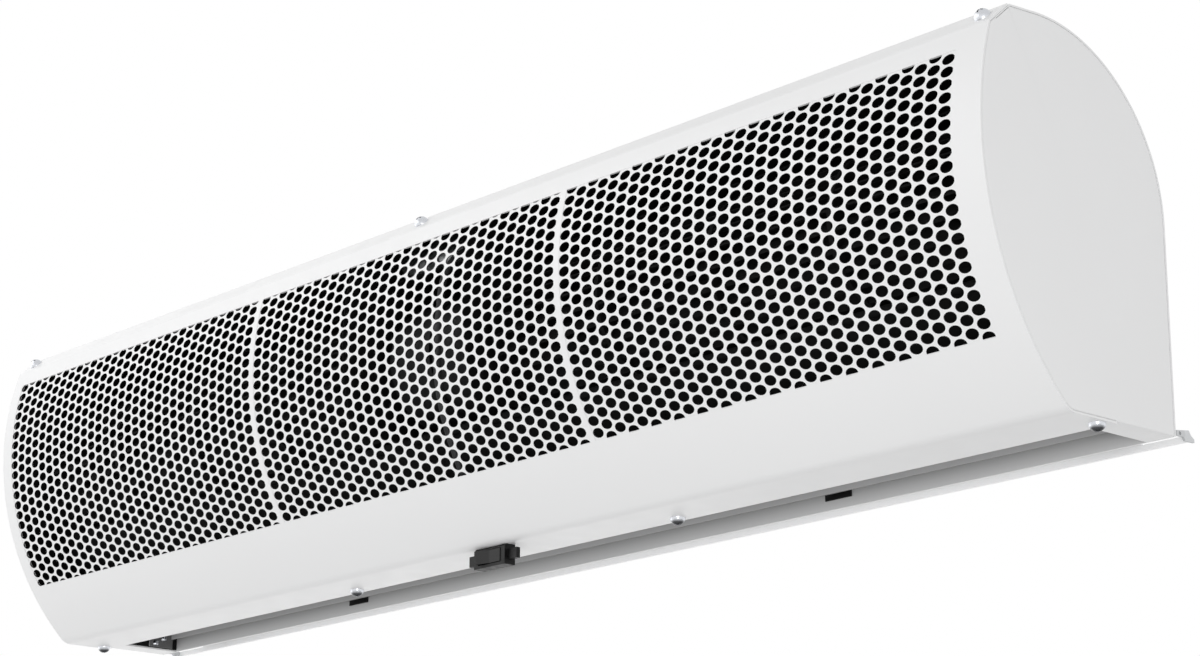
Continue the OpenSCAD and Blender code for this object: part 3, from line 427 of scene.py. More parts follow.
class Shader:
    """A Principled material on Object coordinates, with short calls for its nodes."""

    def __init__(self, name, base, roughness, metallic=0.0, **plain):
        self.mat = bpy.data.materials.new(name)
        self.mat.use_nodes = True
        self.tree = self.mat.node_tree
        self.bsdf = self.tree.nodes["Principled BSDF"]
        self.coords = self.tree.nodes.new("ShaderNodeTexCoord").outputs["Object"]
        self.set("Base Color", (*base, 1.0))
        self.set("Roughness", roughness)
        self.set("Metallic", metallic)
        for socket, value in plain.items():
            self.set(socket.replace("_", " "), value)
        self.mat.diffuse_color = (*base, 1.0)

    def set(self, socket, value):
        """One value for the whole surface, on the shader's own socket."""
        self.bsdf.inputs[socket].default_value = value

    def link(self, a, b):
        self.tree.links.new(a, b)

    def stretched(self, scale):
        """Object coordinates multiplied by a scale along each axis."""
        node = self.tree.nodes.new("ShaderNodeMapping")
        node.inputs["Scale"].default_value = scale
        self.link(self.coords, node.inputs["Vector"])
        return node.outputs["Vector"]

    def noise(self, scale, detail=2.0, rough=0.5, coords=None):
        """Soft clouds of shade, so many to the metre."""
        node = self.tree.nodes.new("ShaderNodeTexNoise")
        node.inputs["Scale"].default_value = scale
        node.inputs["Detail"].default_value = detail
        node.inputs["Roughness"].default_value = rough
        self.link(coords or self.coords, node.inputs["Vector"])
        return node.outputs["Fac"]

    def cells(self, scale):
        """Random tints in cells, so many to the metre."""
        node = self.tree.nodes.new("ShaderNodeTexVoronoi")
        node.inputs["Scale"].default_value = scale
        self.link(self.coords, node.inputs["Vector"])
        return node.outputs["Color"]

    def ranged(self, value, low, high, source=(0.3, 0.7)):
        """value, from its source range, mapped to low..high."""
        node = self.tree.nodes.new("ShaderNodeMapRange")
        ends = {"From Min": source[0], "From Max": source[1], "To Min": low, "To Max": high}
        for socket, number in ends.items():
            node.inputs[socket].default_value = number
        self.link(value, node.inputs["Value"])
        return node.outputs["Result"]

    def ramp(self, value, stops):
        """Colours at positions from 0 to 1, blended along value."""
        node = self.tree.nodes.new("ShaderNodeValToRGB")
        band = node.color_ramp
        while len(band.elements) < len(stops):
            band.elements.new(0.5)
        for element, (at, tint) in zip(band.elements, stops):
            element.position = at
            element.color = (*tint, 1.0)
        self.link(value, node.inputs["Fac"])
        return node.outputs["Color"]

    def product(self, a, b):
        """Two colours multiplied."""
        node = self.tree.nodes.new("ShaderNodeVectorMath")
        node.operation = "MULTIPLY"
        self.link(a, node.inputs[0])
        self.link(b, node.inputs[1])
        return node.outputs["Vector"]

    def bump(self, height, distance, strength):
        """A relief of that depth, in metres."""
        node = self.tree.nodes.new("ShaderNodeBump")
        node.inputs["Distance"].default_value = distance
        node.inputs["Strength"].default_value = strength
        self.link(height, node.inputs["Height"])
        self.link(node.outputs["Normal"], self.bsdf.inputs["Normal"])

    def orange_peel(self):
        """The fine skin of sprayed powder coat."""
        self.bump(self.noise(520.0, 2.0, 0.45), 0.00006, 0.35)

    def part_of(self, vector, axis):
        """One axis of a vector."""
        node = self.tree.nodes.new("ShaderNodeSeparateXYZ")
        self.link(vector, node.inputs[0])
        return node.outputs[axis]

    def above_underside(self, reach):
        """Height over the casing's underside, from 0 there to 1 at the given reach."""
        return self.ranged(self.part_of(self.coords, "Z"), 0.0, 1.0, (SLOT_EDGE, SLOT_EDGE + reach))

    def facing_up(self):
        """How far the surface looks up, from 0 for straight down to 1 for straight up."""
        return self.ranged(self.part_of(self.coords.node.outputs["Normal"], "Z"), 0.0, 1.0, (-1.0, 1.0))

    def facing_along(self):
        """How far the surface looks along X, either way, from 0 to 1."""
        node = self.tree.nodes.new("ShaderNodeMath")
        node.operation = "ABSOLUTE"
        self.link(self.part_of(self.coords.node.outputs["Normal"], "X"), node.inputs[0])
        return node.outputs[0]

    def vary(self, socket, value):
        """A value that changes over the surface."""
        self.link(value, self.bsdf.inputs[socket])


def tint(base, factor):
    """The colour made lighter or darker by a factor."""
    return tuple(min(1.0, c * factor) for c in base)


def powder_coat(name, base):
    """White powder coat: faint clouds of shade, an orange-peel skin and a half gloss that varies."""
    s = Shader(name, base, 0.36)
    clouds = s.noise(7.0, 3.0)
    s.vary("Base Color", s.ramp(clouds, [(0.3, tint(base, 0.985)), (0.7, tint(base, 1.0))]))
    s.vary("Roughness", s.ranged(s.noise(60.0, 3.0), 0.33, 0.42))
    s.orange_peel()
    return s.mat


def dark_lining_painted_shade(name, base):
    """Matt dark coat with a fine grain and a little dust; its black also stands in for the shade inside the
    casing.
    """
    s = Shader(name, base, 0.8, Specular_IOR_Level=0.2)
    s.vary("Base Color", s.ramp(s.noise(40.0, 4.0), [(0.35, base), (0.75, tint(base, 1.6))]))
    s.bump(s.noise(1400.0, 2.0), 0.00005, 0.3)
    return s.mat


def galvanised(name, base):
    """Zinc-coated sheet: spangles of slightly different grey and gloss, with a fine rolled grain."""
    s = Shader(name, base, 0.42, 1.0)
    spangle = s.cells(130.0)
    s.vary("Base Color", s.ramp(spangle, [(0.1, tint(base, 0.86)), (0.9, tint(base, 1.08))]))
    s.vary("Roughness", s.ranged(spangle, 0.34, 0.5, (0.0, 1.0)))
    s.bump(s.noise(1.0, 3.0, coords=s.stretched((60.0, 1600.0, 1600.0))), 0.00003, 0.25)
    return s.mat


def zinc_plated_painted_light(name, base):
    """Zinc plate on small hardware with painted light: a painted highlight on upright faces and painted shade
    on those that look down.
    """
    s = Shader(name, base, 0.28, 1.0)
    # Painted light: faces that look down are darkened as painted shade, and faces near upright are lightened
    # as a painted highlight.
    painted_light_steps = ((0.0, 0.1), (0.16, 0.25), (0.3, 1.9), (0.55, 1.5))
    s.vary("Base Color", s.ramp(s.facing_up(), [(at, tint(base, factor)) for at, factor in painted_light_steps]))
    s.vary("Roughness", s.ranged(s.noise(900.0, 2.0), 0.2, 0.36))
    return s.mat


def slot_coat_painted_shade(name, base):
    """White coat inside the slot, with painted shade that darkens it from the open underside upwards."""
    s = Shader(name, base, 0.5)
    # Painted shade: the colour falls from 1.05 times the paint at the underside to 0.35 times it 14 mm up.
    painted_light_steps = ((0.0, 1.05), (0.45, 0.8), (1.0, 0.35))
    stops = [(at, tint(base, factor)) for at, factor in painted_light_steps]
    s.vary("Base Color", s.ramp(s.above_underside(0.014), stops))
    s.orange_peel()
    return s.mat


def duct_coat_painted_shade(name, base):
    """Grey coat of the outlet's rear wall, with painted shade: dark on the tabs that face along the slot and
    on its cut lower edge."""
    s = Shader(name, base, 0.4)
    # Painted shade: faces that look along X, and faces that look down, are darkened.
    along = s.ramp(s.facing_along(), [(0.3, (1.0, 1.0, 1.0)), (0.7, (0.2, 0.2, 0.2))])
    down = s.ramp(s.facing_up(), [(0.1, tint(base, 0.4)), (0.35, base)])
    s.vary("Base Color", s.product(along, down))
    s.orange_peel()
    return s.mat


def rail_coat_painted_light(name, base):
    """White coat of the rail behind the slot, with painted light: lighter than the casing's paint and
    lightest towards its lower edge.
    """
    s = Shader(name, base, 0.36)
    # Painted light: the paint's colour is raised 1.22 times at the lower edge and 1.08 times from 8 mm up.
    stops = [(0.0, tint(base, 1.22)), (1.0, tint(base, 1.08))]
    s.vary("Base Color", s.ramp(s.above_underside(0.008), stops))
    s.orange_peel()
    return s.mat


def turned_steel(name, base):
    """Ground or turned steel with fine marks across its axis."""
    s = Shader(name, base, 0.3, 1.0)
    marks = s.noise(1.0, 2.0, coords=s.stretched((2600.0, 60.0, 60.0)))
    s.vary("Roughness", s.ranged(marks, 0.22, 0.4))
    s.bump(marks, 0.00002, 0.3)
    return s.mat


def moulded_plastic(name, base, roughness, grain):
    """Moulded plastic: a fine spark-eroded grain and a faint change of gloss."""
    s = Shader(name, base, roughness, Specular_IOR_Level=0.3)
    s.vary("Roughness", s.ranged(s.noise(250.0, 2.0), roughness - 0.05, roughness + 0.07))
    s.vary("Base Color", s.ramp(s.noise(30.0, 2.0), [(0.3, tint(base, 0.9)), (0.7, tint(base, 1.15))]))
    s.bump(s.noise(grain, 1.0), 0.00003, 0.35)
    return s.mat


def blown_rubber(name, base):
    """Matt black rubber with a fine grain and dusty patches."""
    s = Shader(name, base, 0.72, Specular_IOR_Level=0.35)
    s.vary("Base Color", s.ramp(s.noise(90.0, 3.0), [(0.3, tint(base, 0.8)), (0.75, tint(base, 1.5))]))
    s.bump(s.noise(2200.0, 2.0), 0.00004, 0.4)
    return s.mat


def enamel(name, base):
    """Half-gloss enamel on castings, with a soft pebble under it."""
    s = Shader(name, base, 0.55, Specular_IOR_Level=0.2)
    s.vary("Roughness", s.ranged(s.noise(140.0, 2.0), 0.48, 0.62))
    s.bump(s.noise(380.0, 2.0), 0.00015, 0.35)
    return s.mat


def wound_copper(name, base):
    """Varnished wire laid round the motor: narrow bands along its heads."""
    s = Shader(name, base, 0.32, 0.85)
    wave = s.tree.nodes.new("ShaderNodeTexWave")
    wave.inputs["Scale"].default_value = 420.0
    wave.inputs["Distortion"].default_value = 3.0
    s.link(s.coords, wave.inputs["Vector"])
    s.vary("Base Color", s.ramp(wave.outputs["Fac"], [(0.2, tint(base, 0.45)), (0.7, base)]))
    s.bump(wave.outputs["Fac"], 0.0003, 0.6)
    return s.mat


def drawn_aluminium(name, base):
    """Bare drawn aluminium with lines along the can."""
    s = Shader(name, base, 0.33, 1.0)
    lines = s.noise(1.0, 3.0, coords=s.stretched((25.0, 1500.0, 1500.0)))
    s.vary("Roughness", s.ranged(lines, 0.26, 0.42))
    s.bump(lines, 0.00003, 0.3)
    return s.mat


_made = {}


def finish_of(key):
    """One material of each kind, made when it is first asked for."""
    if key not in _made:
        f = finishes()
        plans = {
            "paint": lambda: powder_coat("Powder coat white", tuple(f.paint)),
            "screen": lambda: powder_coat("Screen paint", tuple(f.screen)),
            # Lining: dark coat whose black also stands in for the shade inside the casing.
            "lining": lambda: dark_lining_painted_shade("Dark duct lining and painted shade", tuple(f.lining)),
            "zinc_sheet": lambda: galvanised("Zinc-coated sheet", tuple(f.zinc)),
            "duct": lambda: duct_coat_painted_shade("Grey duct coat, painted shade", tuple(f.duct)),
            # Rail: white coat with painted light.
            "rail": lambda: rail_coat_painted_light("Rail coat, painted light", tuple(f.paint)),
            # Inside of the slot: white coat with painted shade.
            "slot_side_painted_shade": lambda: slot_coat_painted_shade("Slot side of the rear panel, painted shade", tuple(f.paint)),
            # Screws: zinc with painted shade and a painted highlight.
            "zinc_screw_painted_light": lambda: zinc_plated_painted_light("Zinc-plated screw, painted light", tuple(f.screws)),
            "steel": lambda: turned_steel("Ground steel", (0.5, 0.5, 0.5)),
            "bronze": lambda: turned_steel("Sintered bronze", (0.52, 0.34, 0.16)),
            "plastic": lambda: moulded_plastic("Black plastic", tuple(f.plastic), 0.48, 2400.0),
            "rocker": lambda: moulded_plastic("Rocker plastic", tuple(f.plastic), 0.2, 900.0),
            "ivory": lambda: moulded_plastic("Ivory plastic", (0.72, 0.68, 0.55), 0.4, 2000.0),
            "sheath": lambda: moulded_plastic("Lead sheath", (0.05, 0.05, 0.052), 0.45, 1500.0),
            "rubber": lambda: blown_rubber("Black rubber", (0.02, 0.02, 0.02)),
            "enamel": lambda: enamel("Motor enamel", (0.008, 0.008, 0.009)),
            # Black coat on the motor's brackets, screws and hubs, made this dark also as painted shade inside
            # the casing.
            "dark_steel": lambda: enamel("Black-coated steel, also painted shade", (0.006, 0.006, 0.0065)),
            "copper": lambda: wound_copper("Wound copper", (0.55, 0.24, 0.1)),
            "can": lambda: drawn_aluminium("Capacitor can", (0.7, 0.71, 0.72)),
        }
        _made[key] = plans[key]()
    return _made[key]


def dress(node, key):
    """A CAD node that stays takes a finish in each of its slots."""
    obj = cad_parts[node]
    if not obj.data.materials:
        obj.data.materials.append(finish_of(key))
    for i in range(len(obj.data.materials)):
        obj.data.materials[i] = finish_of(key)
    for s in obj.material_slots:
        s.material = finish_of(key)


# ---------- the pieces ----------


def window_ends():
    """The left and right end of each of the three windows, along the casing, in millimetres."""
    c = sizes()
    strip = c.window_strip / MM
    wide = (2 * HALF - 2 * c.window_margin / MM - 2 * strip) / 3
    middle = np.array([-1, 0, 1]) * (wide + strip) - c.window_shift / MM
    return np.stack([middle - wide / 2, middle + wide / 2], 1)


class BuildCover(bpy.types.Operator):
    """Bowed front cover: one sheet with three windows, folded at the top and bent under the front"""

    bl_idname = "aircurtain.cover"
    bl_label = "Front cover"

    def execute(self, context):
        c = sizes()
        t, fold = c.sheet / MM, c.fold / MM
        flange = line([-SLOT_FRONT, 0], [BEND_C[0], 0], [0, -1], 4)
        pts, nrm = joined(flange, *front_run(0.0, fold, CREST - 0.25 * BEVEL_DIR))
        x = [-HALF, *window_ends().ravel(), HALF]
        above, on_arc = on_front(pts)
        mid = (above[1:] + above[:-1]) / 2
        window = on_arc[1:] & on_arc[:-1] & (mid > WINDOW_LOW) & (mid < WINDOW_TOP)
        columns = np.array([False, True, False, True, False, True, False])
        v, f, index = carried(x, pts, nrm, t, 1, columns[:, None] & window[None, :])
        # Inner side: the dark lining, which also stands in for the shade behind the windows.
        paint = [finish_of("paint"), finish_of("lining")]
        obj = new_object("front_cover_sheet", v, f, paint, "housing", index, ["front_cover"])
        soft_edges(obj, 0.00025)
        return {"FINISHED"}


class BuildScreens(bpy.types.Operator):
    """Perforated screens: oval holes in staggered columns, bent to the cover's curve in the windows"""

    bl_idname = "aircurtain.screens"
    bl_label = "Intake screens"

    def lattice(self, columns, rows):
        """The holes' middles, in quarter pitches, with every other column half a pitch lower, and the 16
        points round a middle that bound its rectangular cell."""
        c, r = np.meshgrid(np.arange(columns), np.arange(rows), indexing="ij")
        centre = np.stack([4 * c + 2, 4 * r + 2 + 2 * (c % 2)], -1).reshape(-1, 2)
        side = np.array(
            [(2, 0), (2, 1), (2, 2), (1, 2), (0, 2), (-1, 2), (-2, 2), (-2, 1),
             (-2, 0), (-2, -1), (-2, -2), (-1, -2), (0, -2), (1, -2), (2, -2), (2, -1)]
        )
        return centre, side

    def execute(self, context):
        p, c = screen_sizes(), sizes()
        px, ps = p.pitch_across / MM, p.pitch_along / MM
        columns = p.columns
        span = math.radians(WINDOW_TOP - WINDOW_LOW) * FRONT_R
        above = 2 * ps - p.first_hole / MM
        rows = math.ceil((span + above + 1.5) / ps - 0.5)
        centre, side = self.lattice(columns, rows)
        # An oval's 16 points: middle plus half its width times the cosine and half its height times the sine
        a = np.arange(16) * math.tau / 16
        outer_key = (centre[:, None] + side[None]).reshape(-1, 2)
        edge = np.stack([outer_key[:, 0] * px / 4, outer_key[:, 1] * ps / 4], 1)
        mid = np.stack([centre[:, 0] * px / 4, centre[:, 1] * ps / 4], 1)
        oval = np.stack([np.cos(a) * p.hole_width / MM / 2, np.sin(a) * p.hole_height / MM / 2], 1)
        holes = (mid[:, None] + oval[None]).reshape(-1, 2)
        cells = len(centre)
        k = np.arange(16)
        base = 16 * np.arange(cells)[:, None]
        after = base + (k + 1) % 16
        ring = quads(base + k, after, 16 * cells + after, 16 * cells + base + k)
        flat = [edge, holes]
        faces = [ring]
        made = 32 * cells

        def patch(u, v):
            """A plain rectangle of the lattice between lines u and v, both in quarter pitches."""
            nonlocal made
            gu, gv = np.meshgrid(u, v, indexing="ij")
            flat.append(np.stack([gu.ravel() * px / 4, gv.ravel() * ps / 4], 1))
            faces.append(grid_faces(len(u), len(v)) + made)
            made += len(u) * len(v)

        for col in range(columns):
            low = 0 if col % 2 else 4 * rows
            patch(np.arange(4 * col, 4 * col + 5), np.arange(low, low + 3))
        ends = window_ends()
        lap = (np.ptp(ends[0]) - columns * px + c.window_strip / MM - SCREEN_PLAY) / 2 / (px / 4)
        lines = np.arange(0, 4 * rows + 3)
        patch(np.array([-lap, 0.0]), lines)
        patch(np.array([4.0 * columns, 4.0 * columns + lap]), lines)
        flat, faces = np.concatenate(flat), np.concatenate(faces)
        _, first, back = np.unique(np.round(flat, 3), axis=0, return_index=True, return_inverse=True)
        flat, faces = flat[first], back.ravel()[faces]
        flat -= [columns * px / 2, above]
        r = FRONT_R - p.set_back / MM
        for (side_name, slide), middle in zip(SCREEN_SLIDES.items(), ends.mean(1)):
            x = flat[:, 0] + middle
            along = (flat[:, 1] + slide * p.row_slide / MM) / FRONT_R
            angle = math.radians(front_angle(WINDOW_TOP)) + along
            out = np.stack([np.cos(angle), np.sin(angle)], 1)
            outer = placed(x, FRONT_C + r * out)
            inner = placed(x, FRONT_C + (r - p.thickness / MM) * out)
            v, f, tag = shell(outer, inner, faces)
            # The holes' walls and the screens' inner side take the dark lining, as painted shade inside the
            # holes.
            new_object(
                f"perforated_screen_{side_name}", v, f, [finish_of("screen"), finish_of("lining")],
                "housing", np.where(tag > 0, 1, 0), [f"intake_screen_{side_name}"],
            )
        return {"FINISHED"}


class BuildCasing(bpy.types.Operator):
    """Rear panel with its rounded back and tucked lip, and the two end plates with their turned-in flanges"""

    bl_idname = "aircurtain.casing"
    bl_label = "Rear panel and end plates"

    def rear_panel(self, t):
        """The section's back run, led by a lip that steps down under the cover's bevelled flange."""
        lip_top = crest_in(t + LIP_GAP)
        start = CREST + LIP_STEP * np.array([TOP_OUT[1], -TOP_OUT[0]])
        lip = line(lip_top - LIP_DEPTH * BEVEL_DIR, lip_top - 1.0 * BEVEL_DIR, BEVEL_OUT, 3)
        joggle = line(lip_top + 0.2 * BEVEL_DIR, lip_top + 0.5 * BEVEL_DIR, unit(BEVEL_OUT + TOP_OUT), 2)
        pts, nrm = joined(lip, joggle, *back_run(0.0, start, t + BASE_PLAY))
        # The rear panel's inner side takes the dark lining, which also stands in for the shade inside the
        # casing.
        inner_coat = np.ones((3, len(pts) - 1), int)
        # The rear panel's inner side over the slot takes the coat with painted shade.
        inner_coat[:, pts[1:, 1] < DUCT_TOP + 1] = 2
        inner_coat[[0, 2]] = 0
        x = [-HALF, PAINTED_END - HALF, HALF - PAINTED_END, HALF]
        return carried(x, pts, nrm, t, inner_coat)

    def end_plate(self, t, fold, flange):
        """A loop of the section, drawn in by the sheet, carried from the flange's inner edge, round the fold
        and over the plate to its middle, as rings that shrink towards one point."""
        pts, nrm = joined(
            line([-t - fold, t], [BEND_C[0], t], [0, -1], 6),
            *front_run(t, fold, crest_in(t) - fold * 0.3 * BEVEL_DIR),
            fillet(crest_in(t), BEVEL_OUT, TOP_OUT, fold, 5),
            *back_run(t, crest_in(t) + fold * 0.3 * np.array([TOP_OUT[1], -TOP_OUT[0]]), t + fold),
            fillet([-t, t], [1, 0], [0, -1], fold, 5),
        )
        if np.linalg.norm(pts[0] - pts[-1]) < 1e-3:
            pts, nrm = pts[:-1], nrm[:-1]
        above, on_arc = on_front(pts, t, 0.05)
        behind = on_arc & (above > WINDOW_LOW - WINDOW_CLEAR) & (above < WINDOW_TOP + WINDOW_CLEAR)
        edge_x = np.where(behind, HALF - SIDE_FLANGE, HALF - flange)
        turn = np.radians([0, 22.5, 45, 67.5, 90])
        rings, normals = [], []
        for x in (edge_x, np.full(len(pts), HALF - FLANGE_ROOT)):
            rings.append(np.column_stack([x, pts]))
            normals.append(np.column_stack([0 * x, nrm]))
        for a in turn:
            x = np.full(len(pts), HALF - fold + fold * math.sin(a))
            rings.append(np.column_stack([x, pts - nrm * fold * (1 - math.cos(a))]))
            normals.append(np.column_stack([np.full(len(pts), math.sin(a)), nrm * math.cos(a)]))
        rim = rings[-1][:, 1:]
        for share in (0.99, 0.8, 0.5, 0.2):
            ring = PLATE_MIDDLE + share * (rim - PLATE_MIDDLE)
            rings.append(np.column_stack([np.full(len(pts), HALF), ring]))
            normals.append(np.tile([1.0, 0.0, 0.0], (len(pts), 1)))
        rings, normals = np.array(rings), np.array(normals)
        n, m = rings.shape[:2]
        outer = rings.reshape(-1, 3)
        inner = outer - t * normals.reshape(-1, 3)
        faces = grid_faces(n, m, closed_cols=True)
        outer = np.vstack([outer, [HALF, *PLATE_MIDDLE]])
        inner = np.vstack([inner, [HALF - t, *PLATE_MIDDLE]])
        return outer, inner, faces, (n - 1) * m + np.arange(m)

    def execute(self, context):
        c = sizes()
        t, fold = c.sheet / MM, c.fold / MM
        two = [finish_of("paint"), finish_of("lining")]
        v, f, index = self.rear_panel(t)
        three = [*two, finish_of("slot_side_painted_shade")]
        obj = new_object("rear_panel_sheet", v, f, three, "housing", index, ["rear_panel"])
        soft_edges(obj, 0.0002)
        outer, inner, faces, last = self.end_plate(t, fold, c.flange / MM)
        n, m = len(outer), len(last)
        k = np.arange(m)
        rim = np.stack([(k + 1) % m, k, k + n, (k + 1) % m + n], 1)
        following, tip, none = np.roll(last, -1), np.full(m, n - 1), np.full(m, -1)
        tri_out = np.stack([last, following, tip, none], 1)
        tri_in = np.stack([following + n, last + n, tip + n, none], 1)
        every = np.concatenate([faces, tri_out, faces[:, ::-1] + n, tri_in, rim])
        tag = np.repeat([0, 0, 1, 1, 2], [len(faces), m, len(faces), m, m])
        for side, sign in (("left", -1), ("right", 1)):
            pts = np.vstack([outer, inner]) * [sign, 1, 1]
            v = placed(pts[:, 0], pts[:, 1:])
            f = turned_out(v, every)
            new_object(
                f"end_plate_sheet_{side}", v, f, two, "housing",
                np.where(tag == 1, 1, 0), [f"end_plate_{side}"],
            )
        return {"FINISHED"}


class BuildFasteners(bpy.types.Operator):
    """Pan-head screws, hanging studs and the screws of the air path"""

    bl_idname = "aircurtain.fasteners"
    bl_label = "Screws and studs"

    def execute(self, context):
        for node in (
            "cover_screws_top", "cover_screws_bottom", "rear_wall_screws", "bulkhead_screws",
            "wall_rail_screws", "hanging_studs",
        ):
            # The screws' finish holds painted shade and a painted highlight.
            dress(node, "zinc_screw_painted_light")
        return {"FINISHED"}


class BuildOutlet(bpy.types.Operator):
    """Outlet slot: its rear wall, clips and front guide, and the floor of the motor bay above it"""

    bl_idname = "aircurtain.outlet"
    bl_label = "Outlet"

    def execute(self, context):
        # The rear wall's coat holds painted shade on its tabs and lower edge.
        dress("outlet_rear_wall", "duct")
        dress("front_air_guide", "lining")
        dress("motor_bay_floor", "zinc_sheet")
        merged_copy("rear_wall_clips", "outlet_clips", "plastic", 0.0004, "housing")
        return {"FINISHED"}


class BuildSwitch(bpy.types.Operator):
    """Rocker switch under the bottom flange: frame with two ears, and the rocker in it"""

    bl_idname = "aircurtain.switch"
    bl_label = "Rocker switch"

    def execute(self, context):
        merged_copy("switch_body", "switch_frame", "plastic", 0.0005, "housing")
        merged_copy("switch_rocker", "switch_rocker_key", "rocker", 0.0003, "rocker")
        return {"FINISHED"}


class BuildWorks(bpy.types.Operator):
    """Everything behind the screens: wheels, motor, bulkheads, bearings and electrics"""

    bl_idname = "aircurtain.works"
    bl_label = "Fan, motor and electrics"

    def execute(self, context):
        plan = {
            # Dark lining inside, which also stands in for the shade there.
            "lining": (
                "scroll_left", "scroll_right", "end_bulkhead_left", "end_bulkhead_right",
                "motor_bulkhead_left", "motor_bulkhead_right", "fan_wheel_left", "fan_wheel_right",
                "electrics_shelf",
            ),
            "zinc_sheet": ("bearing_housings", "capacitor_clamp"),
            # Black coat, dark also as painted shade inside the casing.
            "dark_steel": ("motor_ring_brackets", "ring_bracket_screws", "wheel_hubs"),
            "steel": ("motor_bearings", "motor_rotor", "stub_shafts"),
            "rubber": ("motor_rubber_rings", "bearing_rubbers", "cable_grommet"),
            "bronze": ("bearing_bushes",),
            "enamel": ("motor_shell_left", "motor_shell_right"),
            "copper": ("motor_stator",),
            "can": ("run_capacitor",),
            "ivory": ("terminal_block",),
            "sheath": ("motor_lead", "switch_lead"),
        }
        for key, nodes in plan.items():
            for node in nodes:
                dress(node, key)
        return {"FINISHED"}


class BuildBrackets(bpy.types.Operator):
    """Wall brackets behind the casing, the rail between them and its end lugs"""

    bl_idname = "aircurtain.brackets"
    bl_label = "Wall brackets"

    def execute(self, context):
        for side in ("left", "right"):
            node = f"wall_bracket_{side}"
            merged_copy(node, f"bracket_{side}", "zinc_sheet", 0.0003, "housing")
        # The rail's coat holds painted light.
        merged_copy("wall_rail", "rail_sheet", "rail", 0.0003, "housing")
        merged_copy("rail_lugs", "rail_end_lugs", "zinc_sheet", 0.0002, "housing")
        return {"FINISHED"}


# Share of the way from straight down to straight up, and the grey there
SKY = ((0.0, 0.7), (0.5, 0.89), (1.0, 0.58))
# Name, place, point aimed at, width, height, watts and spread in degrees
LAMPS = (
    ("Front softbox", (-1.2, -2.6, 0.9), (0, -0.1, 0), 2.4, 1.6, 9.0, 180.0),
    ("Left wall", (-1.6, 0.1, 0.0), (0, 0.1, 0), 3.2, 2.9, 12.0, 180.0),
    ("High left card", (-1.2, -0.9, 0.9), (-0.45, -0.15, 0.1), 1.0, 0.8, 2.6, 180.0),
    ("Bounce card", (0.0, -0.6, -0.97), (0, -0.3, 0), 2.6, 1.6, 1.9, 180.0),
    ("Low right lamp", (1.6, -1.25, -0.55), (0.1, -0.1, 0), 0.3, 0.3, 0.94, 70.0),
)
FLOOR_MIDDLE = (0.0, -0.1, -6.0)
FLOOR_R = 13.0
FLOOR_SIDES = 64
CAMERA_AT = (1.42128, -1.26453, -0.4892)
CAMERA_TURN = (0.841811765, 0.277073586, 0.002450308)  # yaw, pitch and roll, in radians
SENSOR = 36.0  # width of the camera's sensor
FOCAL_SHARE = 2842.03 / 1200.0  # focal length over the width of the frame


